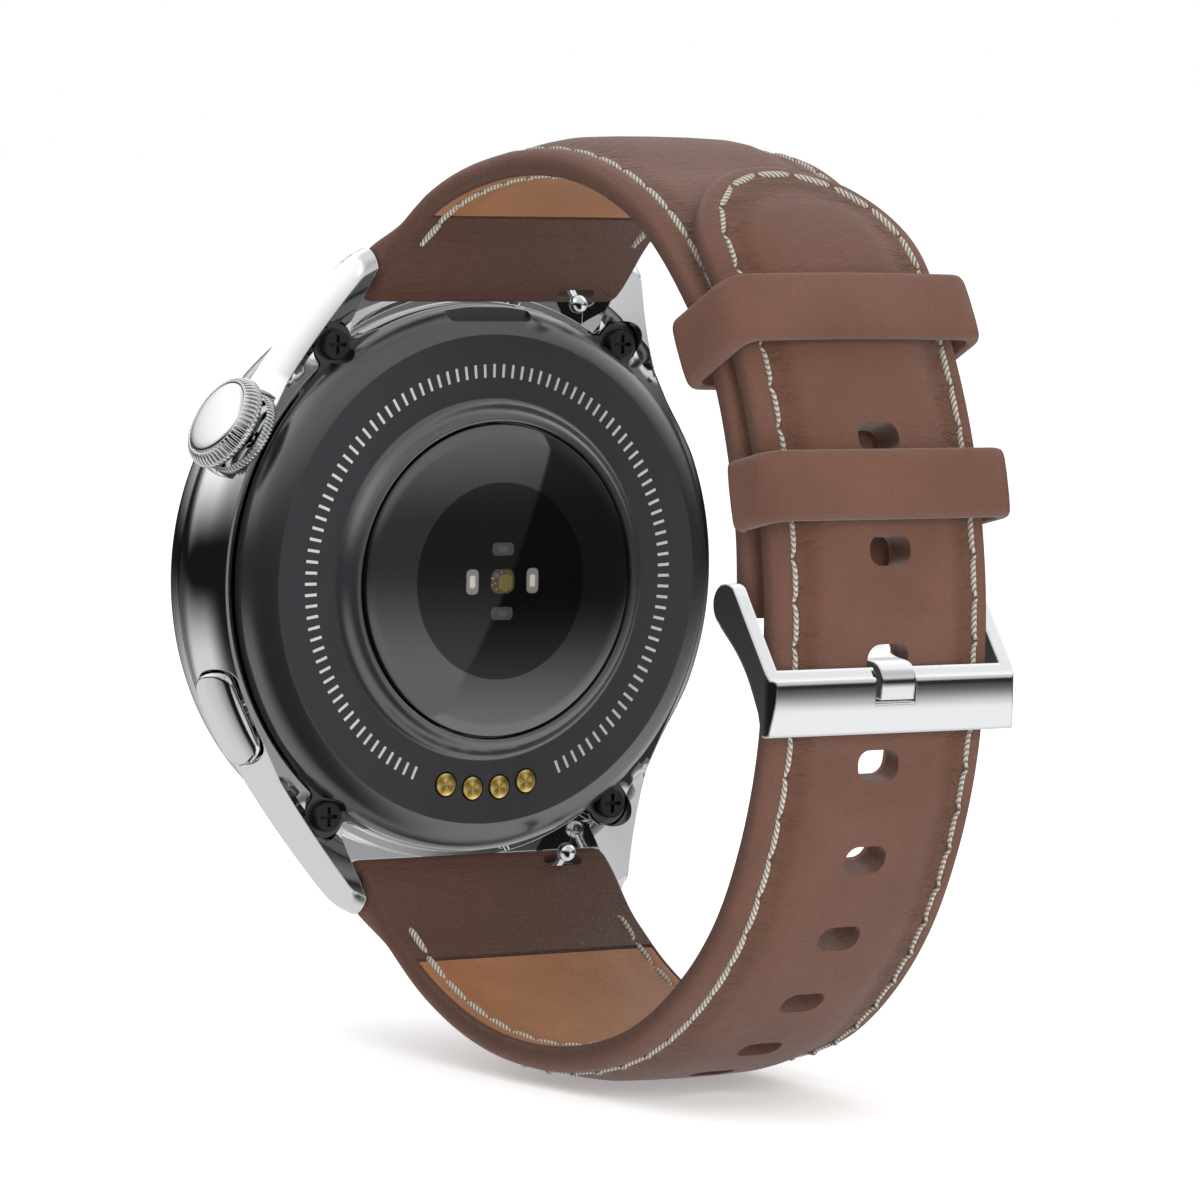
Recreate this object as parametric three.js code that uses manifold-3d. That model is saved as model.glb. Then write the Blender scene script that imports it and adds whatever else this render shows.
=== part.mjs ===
// Round smartwatch on a two-piece leather strap, closed in its pin buckle.
// Millimetres. Origin: centre of the flat display glass. The watch axis is Y: the display faces -Y and
// the wrist is on the +Y side. +Z is 12 o'clock and +X is 3 o'clock, the side of the crown.
import * as THREE from 'three';
import { mergeVertices } from 'three/addons/utils/BufferGeometryUtils.js';
import Module from 'manifold-3d';

const wasm = await Module();
wasm.setup();

// ---------------------------------------------------------------- driving dimensions
const CASE = {
  radius: 23, backRadius: 21.3, bore: 19.2, coverBore: 20.75, seatY: 8.5,
  frontY: 3.0, widestY: 5.85, backY: 8.8, flankBulge: 0.45,
};
const LUG = {
  frontTangent: 31.4, backTangent: 27.5, gap: 22, underStart: 22, underSlope: 1.013,
  tip: { r: 25.0, y: 10.65, radius: 2.0, from: -43, to: 70 },
};
const CHANNEL = { rimRadius: 20.7, rimY: 8.05, ledgeRadius: 21.3, ledgeY: 6.4, outer: 31 };
const GLASS = { radius: 19.8, thickness: 1.15, flatRadius: 19.0 };
const COVER = { flatY: 11.4, flatRadius: 18.28, rimRadius: 20.5, rimY: 9.8, windowSeat: 11.85, hole: 11.0 };
const WINDOW = { radius: 11.67, edgeY: 12.5, rise: 0.66, seatY: 11.65 };
const SCREW = { x: 12.6, z: 17.47, headRadius: 1.15, topY: 9.66, seatY: 8.95, shankRadius: 0.6, shank: 4.2,
    hole: 0.85 };
const EAR = { radius: 1.65, webWidth: 6.0, bottom: 7.3 };
const CONTACT = { radius: 15.64, pitchDeg: 8.72, head: 0.86, count: 4 };
const CROWN = { azimuth: 29.4, y: 7.4, face: 24.7, rim: 3.0, skirt: 3.68, depth: 1.35, flutes: 24 };
const BUTTON = { azimuth: -26.8, y: 7.25, length: 7.6, width: 2.6, proud: 0.5, inner: 21.45 };
const BAR = { y: 10.5, z: 22.65, tube: 0.9, nose: 1.95, reach: 0.9 };
const RELEASE = { knobX: -6.55, knobRadius: 0.7, throw: 1.1, outward: 1.35, y: 2.1, z: 2.05 };
// where the leather folded back over the spring bar ends, along the strap
const WRAP_END = 9.2;
const STRAP = { wide: 21.6, narrow: 18.0, edge: 1.9, lining: 0.5, crown: 0.75, crownAtLugs: 1.15 };
const PIVOT = { y: 57.35, z: 1.75, bar: 0.55, nose: 1.2 };
const BUCKLE = {
  halfWidth: 10.38, arm: 1.0, eye: 1.5, topY: 63.0, topZ: -3.0, lowY: 62.3, lowZ: -6.85, depth: 0.85,
};
const TONGUE = { width: 2.8, thickness: 0.75 };
const HOLE = { width: 3.4, height: 2.1 };
// where the buckle's crossbar presses the long strap flat
const PRESSED = { at: 67.3, reach: 4.0 };
// hole centres along the long strap, measured from its spring bar
const HOLE_STATIONS = [33.6, 39.4, 45.4, 51.5, 57.6, 64.1, 71.3, 78.5, 86.0];
const KEEPER = { thickness: 1.05, height: 4.8, clear: 0.35 };

// mid-thickness line of each strap in the Y-Z plane, from the spring bar to the free end
const SHORT_LINE = [[10.5, 22.65], [14.5, 25.4], [18.9, 28.3], [24.4, 30.3], [31.6, 31.35], [38.4, 30.6],
  [44.8, 27.8], [50.2, 22.7], [53.5, 18.0], [55.8, 12.0], [57.0, 6.5], [57.35, 1.75]];
const LONG_LINE = [[10.5, -22.65], [14.8, -25.65], [20.3, -29.15], [26.6, -31.5], [33.2, -32.3], [39.7,
    -31.65],
  [45.9, -29.5], [51.2, -25.7], [55.3, -21.0], [58.3, -15.0], [60.1, -8.5], [60.6, -2.0], [60.35, 4.0],
  [58.8, 11.9], [56.3, 18.3], [52.9, 24.2], [48.2, 28.8],
  [45.3, 31.0]];

// ---------------------------------------------------------------- materials
const look = (color, roughness, metalness) => new THREE.MeshStandardMaterial({ color, roughness, metalness });
const STEEL = look('#d2d4d6', 0.08, 1);
const GOLD = look('#e0b25a', 0.25, 1);
const BLACK_METAL = look('#3a3b3f', 0.45, 0.6);
const BLACK_PLASTIC = look('#2b2c30', 0.5, 0);
const BLACK_GLASS = look('#08080a', 0.05, 0);
const LEATHER = look('#7a5546', 0.6, 0);
const LINING = look('#a46f4c', 0.65, 0);
const RUBBER = look('#1a1a1b', 0.8, 0);
const BOARD = look('#1d4a34', 0.5, 0);
const FOIL = look('#b9bbbd', 0.4, 0.8);
const CHIP = look('#5c5a48', 0.3, 0);

// ---------------------------------------------------------------- small geometry tools
const RAD = Math.PI / 180;
const vec = (x, y, z) => new THREE.Vector3(x, y, z);
const lerp = THREE.MathUtils.lerp;

/** A closed geometry as a solid that can be joined and cut. */
function solid(geometry) {
  const bare = geometry.index ? geometry.clone() : mergeVertices(geometry.clone());
  bare.deleteAttribute('normal');
  bare.deleteAttribute('uv');
  const merged = mergeVertices(bare, 1e-5);
  const vertProperties = new Float32Array(merged.attributes.position.array);
  const triVerts = new Uint32Array(merged.index.array);
  return new wasm.Manifold(new wasm.Mesh({ numProp: 3, vertProperties, triVerts }));
}

/** A solid back as a geometry. */
function geometryOf(body) {
  const data = body.getMesh();
  const geometry = new THREE.BufferGeometry();
  geometry.setAttribute('position', new THREE.BufferAttribute(new Float32Array(data.vertProperties), 3));
  geometry.setIndex(new THREE.BufferAttribute(new Uint32Array(data.triVerts), 1));
  geometry.computeVertexNormals();
  return geometry;
}

/** Closed rings of points skinned into a closed surface; wrap joins the last ring to the first. */
function skin(rows, wrap) {
  const count = rows[0].length;
  const points = rows.flat();
  const index = [];
  const last = wrap ? rows.length : rows.length - 1;
  for (let i = 0; i < last; i++) {
    for (let j = 0; j < count; j++) {
      const a = i * count + j;
      const b = i * count + ((j + 1) % count);
      const c = ((i + 1) % rows.length) * count + ((j + 1) % count);
      const d = ((i + 1) % rows.length) * count + j;
      index.push(a, b, c, a, c, d);
    }
  }
  if (!wrap) {
    for (const [row, flip] of [[0, true], [rows.length - 1, false]]) {
      const middle = points.length;
      points.push(rows[row].reduce((sum, p) => sum.add(p), vec(0, 0, 0)).divideScalar(count));
      for (let j = 0; j < count; j++) {
        const a = row * count + j;
        const b = row * count + ((j + 1) % count);
        index.push(...(flip ? [middle, b, a] : [middle, a, b]));
      }
    }
  }
  const geometry = new THREE.BufferGeometry().setFromPoints(points);
  geometry.setIndex(index);
  return signedVolume(geometry) < 0 ? turnedOut(geometry) : geometry;
}

function signedVolume(geometry) {
  const p = geometry.attributes.position;
  const [a, b, c] = [vec(0, 0, 0), vec(0, 0, 0), vec(0, 0, 0)];
  let sum = 0;
  for (let i = 0; i < geometry.index.count; i += 3) {
    a.fromBufferAttribute(p, geometry.index.getX(i));
    b.fromBufferAttribute(p, geometry.index.getX(i + 1));
    c.fromBufferAttribute(p, geometry.index.getX(i + 2));
    sum += a.dot(b.cross(c));
  }
  return sum;
}

function turnedOut(geometry) {
  const flipped = Array.from(geometry.index.array);
  for (let i = 0; i < flipped.length; i += 3) {
    [flipped[i + 1], flipped[i + 2]] = [flipped[i + 2], flipped[i + 1]];
  }
  geometry.setIndex(flipped);
  return geometry;
}

/** A ring or disc turned about the watch axis from a closed (radius, y) profile. */
function turned(profile, segments = 72) {
  const points = profile.map(([r, y]) => new THREE.Vector2(r, y));
  const onAxis = points[0].x === 0 && points[points.length - 1].x === 0;
  if (!onAxis) points.push(points[0].clone());
  const geometry = mergeVertices(stripped(new THREE.LatheGeometry(points, segments)), 1e-5);
  const clean = withoutSlivers(geometry);
  return signedVolume(clean) < 0 ? turnedOut(clean) : clean;
}

function stripped(geometry) {
  geometry.deleteAttribute('normal');
  geometry.deleteAttribute('uv');
  return geometry;
}

function withoutSlivers(geometry) {
  const kept = [];
  const source = geometry.index;
  for (let i = 0; i < source.count; i += 3) {
    const tri = [source.getX(i), source.getX(i + 1), source.getX(i + 2)];
    if (new Set(tri).size === 3) kept.push(...tri);
  }
  geometry.setIndex(kept);
  return geometry;
}

/** An outline of (y, z) points pushed along X from x0 to x1. */
function prismX(outline, x0, x1) {
  const shape = new THREE.Shape(outline.map(([y, z]) => new THREE.Vector2(y, z)));
  const geometry = new THREE.ExtrudeGeometry(shape, { depth: x1 - x0, bevelEnabled: false });
  const turn = new THREE.Matrix4().makeBasis(vec(0, 1, 0), vec(0, 0, 1), vec(1, 0, 0));
  return geometry.applyMatrix4(turn).translate(x0, 0, 0);
}

/** An outline of (x, z) points pushed along Y from y0 to y1. */
function prismY(outline, y0, y1) {
  const shape = new THREE.Shape(outline.map(([x, z]) => new THREE.Vector2(x, z)));
  const geometry = new THREE.ExtrudeGeometry(shape, { depth: y1 - y0, bevelEnabled: false });
  const turn = new THREE.Matrix4().makeBasis(vec(1, 0, 0), vec(0, 0, 1), vec(0, -1, 0));
  return geometry.applyMatrix4(turn).translate(0, y1, 0);
}

/** A round bar from one point to another. */
function rod(from, to, radius, sides = 20, endRadius = radius) {
  const axis = to.clone().sub(from);
  const geometry = new THREE.CylinderGeometry(endRadius, radius, axis.length(), sides);
  const turn = new THREE.Quaternion().setFromUnitVectors(vec(0, 1, 0), axis.clone().normalize());
  return geometry.applyQuaternion(turn).translate(...from.clone().add(to).multiplyScalar(0.5).toArray());
}

function box(x0, x1, y0, y1, z0, z1) {
  return new THREE.BoxGeometry(x1 - x0, y1 - y0, z1 - z0)
    .translate((x0 + x1) / 2, (y0 + y1) / 2, (z0 + z1) / 2);
}

/** A turned part about a radial axis: the profile is (radius, distance from the watch axis). */
function turnedRadial(profile, azimuth, y, segments = 28) {
  const turn = new THREE.Quaternion().setFromUnitVectors(vec(0, 1, 0), radial(azimuth));
  return turned(profile, segments).applyQuaternion(turn).translate(0, y, 0);
}

/** A round bar along a radius of the watch, between two distances from its axis. */
const radialRod = (azimuth, from, to, y, radius) =>
  rod(onRadial(azimuth, from, y), onRadial(azimuth, to, y), radius, 16);
const radial = (azimuth) => vec(Math.cos(azimuth * RAD), 0, Math.sin(azimuth * RAD));
const onRadial = (azimuth, distance, y) => radial(azimuth).multiplyScalar(distance).setY(y);
const circle = (cx, cy, r, n) => Array.from({ length: n }, (_, i) =>
  [cx + r * Math.cos((i / n) * 2 * Math.PI), cy + r * Math.sin((i / n) * 2 * Math.PI)]);

/** A centred flat outline with straight sides and half-round ends, long along the first axis. */
function pill(length, width, steps = 8) {
  const half = length / 2 - width / 2;
  const ends = [];
  for (const side of [1, -1]) {
    for (let i = 0; i <= steps; i++) {
      const a = (-90 + (180 * i) / steps) * RAD;
      ends.push([side * (half + (width / 2) * Math.cos(a)), side * (width / 2) * Math.sin(a)]);
    }
  }
  return ends;
}

// ---------------------------------------------------------------- assembly
const watch = new THREE.Group();

function add(name, shape, material) {
  const geometry = shape.isBufferGeometry ? shape : geometryOf(shape);
  const mesh = new THREE.Mesh(geometry, material);
  mesh.name = name;
  watch.add(mesh);
  return mesh;
}

// ---------------------------------------------------------------- case with lugs
/** Azimuth folded into the first quadrant, because the body is the same in all four. */
function folded(azimuth) {
  const half = ((azimuth % 180) + 180) % 180;
  return half > 90 ? 180 - half : half;
}

const flankRadius = (t, radius, tangent) => (t <= tangent ? radius : radius / Math.cos((t - tangent) * RAD));
const underY = (r) => CASE.backY + Math.max(0, r - LUG.underStart) * LUG.underSlope;

/** Cross-section of the steel body at one azimuth, as closed (radius, y) points. */
function caseSection(azimuth) {
  const t = folded(azimuth);
  const front = flankRadius(t, CASE.radius, LUG.frontTangent);
  const back = flankRadius(t, CASE.backRadius, LUG.backTangent);
  const flank = [];
  for (const s of [1, 0.7, 0.35, 0]) {
    const a = lerp(LUG.tip.from, LUG.tip.to, s) * RAD;
    const tip = [LUG.tip.r + LUG.tip.radius * Math.cos(a), LUG.tip.y + LUG.tip.radius * Math.sin(a)];
    const frontY = CASE.widestY + front - CASE.radius;
    const bulge = CASE.flankBulge * 4 * s * (1 - s) * (t < LUG.frontTangent ? 1 : 0.4);
    const side = [lerp(front, back, s) + bulge, lerp(frontY, underY(back), s)];
    flank.push(side[0] < tip[0] ? side : tip);
  }
  const neck = lerp(CASE.coverBore + 0.35, flank[0][0], 0.35);
  return [
    [CASE.bore, CASE.frontY], [CASE.bore, CASE.seatY], [CASE.coverBore, CASE.seatY],
    [CASE.coverBore, CASE.backY - 0.12], [CASE.coverBore + 0.12, CASE.backY],
    [neck, underY(neck)], ...flank, [22.6, 4.7], [21.9, CASE.frontY],
  ];
}

function caseBody() {
  const quarter = [0, 8, 16, 24, 31.4, 39, 47, 54, 58, 60, 61.2, 62.5, 65, 70, 77, 84];
  const azimuths = [];
  for (let q = 0; q < 4; q++) {
    for (const a of quarter) azimuths.push(q % 2 === 0 ? q * 90 + a : (q + 1) * 90 - a);
    azimuths.push(q % 2 === 0 ? q * 90 + 90 : q * 90);
  }
  const sorted = [...new Set(azimuths.map((a) => ((a % 360) + 360) % 360))].sort((a, b) => a - b);
  const rows = sorted.map((a) => caseSection(a).map(([r, y]) => onRadial(a, r, y)));
  let body = solid(skin(rows, true));
  body = body.subtract(strapChannels());
  for (const [x, z] of screwPlaces()) {
    body = body.subtract(solid(earOutline(x, z, 0.25, EAR.bottom - 0.3, 14)));
    const holeEnd = SCREW.seatY - SCREW.shank - 0.6;
    body = body.subtract(solid(rod(vec(x, holeEnd, z), vec(x, EAR.bottom, z), SCREW.hole, 16)));
  }
  for (const side of [1, -1]) {
    for (const x of [1, -1]) {
      const inner = vec(x * (LUG.gap / 2 - 1), BAR.y, side * BAR.z);
      const outer = vec(x * (LUG.gap / 2 + BAR.reach + 0.35), BAR.y, side * BAR.z);
      body = body.subtract(solid(rod(inner, outer, 0.75, 16)));
    }
  }
  const crownBore = turnedRadial([[0, 15], [1.04, 15], [1.04, 21.6], [3.55, 21.6], [3.55, 30], [0, 30]],
    CROWN.azimuth, CROWN.y);
  const buttonBore = radialRod(BUTTON.azimuth, 15, 30, BUTTON.y, 1.0);
  return body.subtract(solid(crownBore)).subtract(solid(buttonBore)).subtract(buttonPocket());
}

/** The gap between the lugs, stepped so that the strap's end clears the rim of the case. */
function strapChannels() {
  const rim = turned([[CHANNEL.rimRadius, CHANNEL.rimY], [CHANNEL.outer, CHANNEL.rimY], [CHANNEL.outer, 18],
    [CHANNEL.rimRadius, 18]], 96);
  const ledge = turned([[CHANNEL.ledgeRadius, CHANNEL.ledgeY], [CHANNEL.outer, CHANNEL.ledgeY],
    [CHANNEL.outer, 18], [CHANNEL.ledgeRadius, 18]], 96);
  const gap = solid(box(-LUG.gap / 2, LUG.gap / 2, 0, 20, -40, 40));
  return solid(rim).add(solid(ledge)).intersect(gap);
}

function screwPlaces() {
  return [[1, 1], [-1, 1], [1, -1], [-1, -1]].map(([a, b]) => [a * SCREW.x, b * SCREW.z]);
}

/** Outline of one screw ear with the web that joins it to the round cover. */
function earOutline(x, z, clear, y0, y1) {
  const reach = Math.hypot(x, z);
  const [ux, uz] = [x / reach, z / reach];
  const r = EAR.radius + clear;
  const points = [];
  for (let i = 0; i <= 10; i++) {
    const a = (-90 + 18 * i) * RAD;
    const [out, side] = [reach + r * Math.cos(a), r * Math.sin(a)];
    points.push([out * ux - side * uz, out * uz + side * ux]);
  }
  const [root, halfWeb] = [19.95 - clear, EAR.webWidth / 2 + clear];
  for (const [out, side] of [[root, halfWeb], [root, -halfWeb]]) {
    points.push([out * ux - side * uz, out * uz + side * ux]);
  }
  return prismY(points, y0, y1);
}

// ---------------------------------------------------------------- front and inside of the case
function frontAndInside() {
  add('bezel_ring', turned([[19.3, 2.9], [19.3, 1.3], [19.95, 1.3], [19.95, 0.35], [20.5, 0.12], [21.2, 0.45],
    [21.75, 2.2], [21.9, 2.9]], 48), STEEL);
  add('front_glass', turned([[0, 0], [GLASS.flatRadius, 0], [19.55, 0.25], [GLASS.radius, 0.6],
    [GLASS.radius, GLASS.thickness], [0, GLASS.thickness]], 48), BLACK_GLASS);
  add('display_panel', turned([[0, 1.25], [18.9, 1.25], [18.9, 2.0], [0, 2.0]], 36), BLACK_GLASS);
  let tray = solid(turned([[0, 2.3], [18.85, 2.3], [18.85, 8.0], [18.2, 8.0], [18.2, 3.1], [0, 3.1]], 36));
  tray = tray.subtract(solid(radialRod(CROWN.azimuth, 16, 21, CROWN.y, 1.6)));
  tray = tray.subtract(solid(radialRod(BUTTON.azimuth, 16, 21, BUTTON.y, 1.2)));
  add('mid_frame', tray.subtract(solid(box(-3.6, 3.6, 2, 3.4, 14.6, 15.9))), BLACK_PLASTIC);
  add('display_flex', prismX([[2.09, 11], [2.21, 11], [2.21, 15.1], [8.1, 15.1], [8.1, 12.5], [8.22, 12.5],
    [8.22, 15.25], [2.09, 15.25]], -3, 3), GOLD);
  add('main_board', turned([[0, 8.35], [17.9, 8.35], [17.9, 9.05], [0, 9.05]], 36), BOARD);
  add('battery', turned([[0, 3.3], [10.1, 3.3], [10.5, 3.7], [10.5, 6.0], [10.1, 6.4], [0, 6.4]], 28)
    .translate(2, 0, 0), FOIL);
  add('vibration_motor', rod(vec(-13.2, 3.3, 0), vec(-13.2, 6.0, 0), 4, 28), FOIL);
  add('speaker', box(-6.5, 2.5, 3.3, 6.4, -16.2, -12.4), BLACK_PLASTIC);
  add('microphone', box(-9.6, -7, 7.2, 8.15, 10.5, 12.4), FOIL);
}

// ---------------------------------------------------------------- back of the case
function rearCover() {
  const profile = [[COVER.hole, 10.6], [COVER.hole, 11.5], [COVER.windowSeat, 11.5], [COVER.windowSeat,
      12.42],
    [12.15, 12.55], [12.6, 12.42], [13.1, 11.85], [13.6, COVER.flatY], [COVER.flatRadius, COVER.flatY],
    [19.4, 11.02], [20.2, 10.2], [COVER.rimRadius, COVER.rimY], [COVER.rimRadius, 8.75], [19.3, 8.75],
        [19.3, 9.3],
    [18.2, 10.15], [12.2, 10.15]];
  let cover = solid(turned(profile, 40));
  for (const [x, z] of screwPlaces()) {
    cover = cover.subtract(solid(rod(vec(x, SCREW.seatY, z), vec(x, 14, z), SCREW.headRadius + 0.22, 16)));
    cover = cover.add(solid(earOutline(x, z, 0, EAR.bottom, SCREW.seatY)));
  }
  for (const [x, z] of screwPlaces()) {
    cover = cover.subtract(solid(rod(vec(x, 6, z), vec(x, 10, z), SCREW.hole, 16)));
  }
  for (const [x, z] of contactPlaces()) {
    cover = cover.subtract(solid(rod(vec(x, 9, z), vec(x, 12, z), CONTACT.head + 0.1, 14)));
  }
  const vent = prismY(pill(7.4, 1.1).map(([x, z]) => [x, z + 19.75]), 10.1, 12);
  return cover.subtract(solid(vent));
}

function contactPlaces() {
  return Array.from({ length: CONTACT.count }, (_, i) => {
    const a = (-90 + (i - (CONTACT.count - 1) / 2) * CONTACT.pitchDeg) * RAD;
    return [CONTACT.radius * Math.cos(a), CONTACT.radius * Math.sin(a)];
  });
}

function backOfCase() {
  add('rear_cover', rearCover(), BLACK_PLASTIC);
  add('rear_gasket', turned([[19.45, 8.53], [19.85, 8.53], [19.85, 8.72], [19.45, 8.72]], 32), RUBBER);
  const dome = [];
  for (let i = 0; i <= 4; i++) {
    const r = (WINDOW.radius - 0.1) * (i / 4);
    dome.push([r, WINDOW.edgeY + WINDOW.rise * (1 - (r / WINDOW.radius) ** 2)]);
  }
  add('sensor_window', turned([[0, WINDOW.seatY], [WINDOW.radius, WINDOW.seatY], [WINDOW.radius,
      WINDOW.edgeY - 0.1],
    ...dome.reverse()], 40), BLACK_GLASS);
  add('window_seal', turned([[11.1, 11.52], [11.75, 11.52], [11.75, 11.63], [11.1, 11.63]], 28), RUBBER);
  add('sensor_board', turned([[0, 10.2], [9.5, 10.2], [9.5, 10.8], [0, 10.8]], 28), BOARD);
  add('sensor_chip', box(-1.05, 1.05, 10.85, 11.45, -0.93, 0.93), CHIP);
  const lights = { led_left: [2.65, 0, 1.03, 1.85], led_right: [-2.65, 0, 1.03, 1.85],
    photodiode_top: [0, 2.4, 1.9, 0.96], photodiode_bottom: [0, -2.4, 1.9, 0.96] };
  for (const [name, [x, z, w, h]] of Object.entries(lights)) {
    add(name, box(x - w / 2, x + w / 2, 10.85, 11.35, z - h / 2, z + h / 2), FOIL);
  }
  contactPlaces().forEach(([x, z], i) => {
    const pin = turned([[0, 9.1], [0.5, 9.1], [0.5, 10.9], [CONTACT.head, 10.9], [CONTACT.head, 11.4],
      [CONTACT.head - 0.06, 11.46], [0, 11.46]], 14);
    add(`charge_contact_${i + 1}`, pin.translate(x, 0, z), GOLD);
  });
  screwPlaces().forEach(([x, z], i) => {
    const { headRadius, topY, seatY, shankRadius, shank } = SCREW;
    let screw = solid(turned([[0, seatY - shank], [shankRadius, seatY - shank], [shankRadius, seatY + 0.02],
      [headRadius, seatY + 0.02], [headRadius, topY - 0.1], [headRadius - 0.1, topY], [0, topY]], 16)
      .translate(x, 0, z));
    const slots = [box(x - 0.75, x + 0.75, topY - 0.3, topY + 1, z - 0.15, z + 0.15),
      box(x - 0.15, x + 0.15, topY - 0.3, topY + 1, z - 0.75, z + 0.75)];
    for (const slot of slots) screw = screw.subtract(solid(slot));
    add(`case_screw_${i + 1}`, screw, BLACK_METAL);
  });
}

// ---------------------------------------------------------------- crown
/** A ring with flutes cut into its rim, as (radius, distance) levels along its axis. */
function fluted(levels, flutes, depth, azimuth, y) {
  const rows = levels.map(([r, at, share]) => {
    const ring = [];
    for (let i = 0; i < flutes * 2; i++) {
      const a = (i / (flutes * 2)) * 2 * Math.PI;
      const radius = r - (i % 2 ? depth * share : 0);
      ring.push(vec(radius * Math.cos(a), at, radius * Math.sin(a)));
    }
    return ring;
  });
  const turn = new THREE.Quaternion().setFromUnitVectors(vec(0, 1, 0), radial(azimuth));
  return skin(rows, false).applyQuaternion(turn).translate(0, y, 0);
}

function crown() {
  const { azimuth, y, face, rim, skirt, depth, flutes } = CROWN;
  const back = face - depth;
  let knob = solid(fluted([[skirt - 0.45, back - 0.35, 0.3], [skirt, back, 1], [skirt - 0.22, face - 0.65, 1],
    [rim + 0.08, face - 0.02, 0.2]], flutes, 0.28, azimuth, y));
  knob = knob.subtract(solid(turnedRadial([[0, face - 0.5], [rim - 0.05, face - 0.5], [rim - 0.05, 30], [0,
      30]],
    azimuth, y, 32)));
  knob = knob.subtract(solid(turnedRadial([[0, back - 1], [0.95, back - 1], [0.95, face - 0.9], [0,
      face - 0.9]],
    azimuth, y, 24)));
  add('crown_knob', knob, STEEL);
  add('crown_cap', turnedRadial([[0, face - 0.45], [rim - 0.1, face - 0.45], [rim - 0.1, face - 0.05],
    [rim - 0.3, face + 0.08], [1.5, face + 0.2], [0, face + 0.24]], azimuth, y, 32), STEEL);
  add('crown_stem', turnedRadial([[0, 17.3], [0.48, 17.3], [0.48, face - 1.0], [0, face - 1.0]], azimuth,
      y, 20),
    STEEL);
  add('crown_o_ring', turnedRadial([[0.52, 21.2], [0.68, 21.2], [0.68, 21.5], [0.52, 21.5]], azimuth, y,
      20), RUBBER);
  add('crown_tube', turnedRadial([[0.72, 19.0], [1.0, 19.0], [1.0, 21.7], [3.25, 21.7], [3.25, 22.4],
      [0.72, 22.4]],
    azimuth, y, 20), STEEL);
  add('crown_thrust_cap', radialRod(azimuth, 16.4, 17.1, y, 0.7), BLACK_PLASTIC);
  const encoder = box(12.9, 15.6, y - 0.9, y + 0.9, -1.5, 1.5).rotateY(-azimuth * RAD);
  add('crown_encoder', encoder, BLACK_PLASTIC);
}

// ---------------------------------------------------------------- side button
/** The flank of the case moved outward, as a solid of revolution that trims the button's face. */
function flankSolid(out) {
  return solid(turned([[0, 4.5], [CASE.radius + out, 4.5], [CASE.radius + out, CASE.widestY],
    [CASE.radius - 0.25 + out, 7.2], [CASE.backRadius + out, CASE.backY], [CASE.backRadius + out, 10], [0,
        10]], 120));
}

function pillAcross(length, width, from, to) {
  const outline = new THREE.Shape(pill(length, width, 6).map(([a, b]) => new THREE.Vector2(a, b)));
  const geometry = new THREE.ExtrudeGeometry(outline, { depth: to - from, bevelEnabled: false });
  const out = radial(BUTTON.azimuth);
  const turn = new THREE.Matrix4().makeBasis(vec(0, 1, 0).cross(out), vec(0, 1, 0), out);
  return geometry.applyMatrix4(turn).translate(...onRadial(BUTTON.azimuth, from, BUTTON.y).toArray());
}

const buttonPocket = () => solid(pillAcross(BUTTON.length + 0.4, BUTTON.width + 0.4, 21.0, 30));

function button() {
  const head = solid(pillAcross(BUTTON.length, BUTTON.width, BUTTON.inner,
      30)).intersect(flankSolid(BUTTON.proud));
  const stem = radialRod(BUTTON.azimuth, 18.55, BUTTON.inner + 0.15, BUTTON.y, 0.6);
  add('side_button', head.add(solid(stem)), STEEL);
  const washer = turnedRadial([[0.65, 20.2], [0.95, 20.2], [0.95, 20.6], [0.65, 20.6]], BUTTON.azimuth,
      BUTTON.y, 20);
  add('side_button_gasket', washer, RUBBER);
  add('side_button_switch', box(15.2, 18.0, BUTTON.y - 0.9, BUTTON.y + 0.9, -1.6, 1.6)
    .rotateY(-BUTTON.azimuth * RAD), BLACK_PLASTIC);
}

// ---------------------------------------------------------------- strap
/** A smooth line through (y, z) points, with its length, and the outward normal at any distance along it. */
class StrapLine {
  constructor(points, outward) {
    this.curve = new THREE.CatmullRomCurve3(points.map(([y, z]) => vec(0, y, z)), false, 'centripetal');
    this.curve.arcLengthDivisions = 400;
    this.length = this.curve.getLength();
    this.outward = outward;
  }

  at(distance) {
    const u = THREE.MathUtils.clamp(distance / this.length, 0, 1);
    const point = this.curve.getPointAt(u);
    const tangent = this.curve.getTangentAt(u);
    const normal = vec(0, tangent.z, -tangent.y).multiplyScalar(this.outward);
    return { point, tangent, normal };
  }

  place(distance, x, n) {
    const { point, normal } = this.at(distance);
    return vec(x, point.y + normal.y * n, point.z + normal.z * n);
  }
}

const shortLine = new StrapLine(SHORT_LINE, -1);
const longLine = new StrapLine(LONG_LINE, 1);

/** Width of a strap: full at the lugs, narrow from two thirds of the way to the buckle. */
function strapWidth(distance) {
  const t = THREE.MathUtils.clamp((distance - 4) / 52, 0, 1);
  return lerp(STRAP.wide, STRAP.narrow, t * t * (3 - 2 * t));
}

/** Half-width of the long strap near its rounded tip. */
function tipHalfWidth(distance, total) {
  const left = total - distance;
  const round = 9.5;
  const share = left >= round ? 1 : Math.sqrt(Math.max(0, 1 - ((round - left) / round) ** 2));
  return Math.max(0.8, (strapWidth(distance) / 2) * share);
}

/** Leather section: flat bottom, rounded edges, a stitched flange and a raised middle. */
function leatherSection(half, bottom, crown) {
  const top = STRAP.edge / 2;
  const flange = Math.min(1.5, half * 0.4);
  const inner = half - flange;
  const right = [[half, bottom], [half, top - 0.5], [half - 0.3, top - 0.08], [inner, top],
    [inner * 0.84, top + crown * 0.62], [inner * 0.5, top + crown * 0.94], [0, top + crown]];
  const left = right.slice(0, -1).reverse().map(([x, n]) => [-x, n]);
  return [...right, ...left];
}

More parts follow.
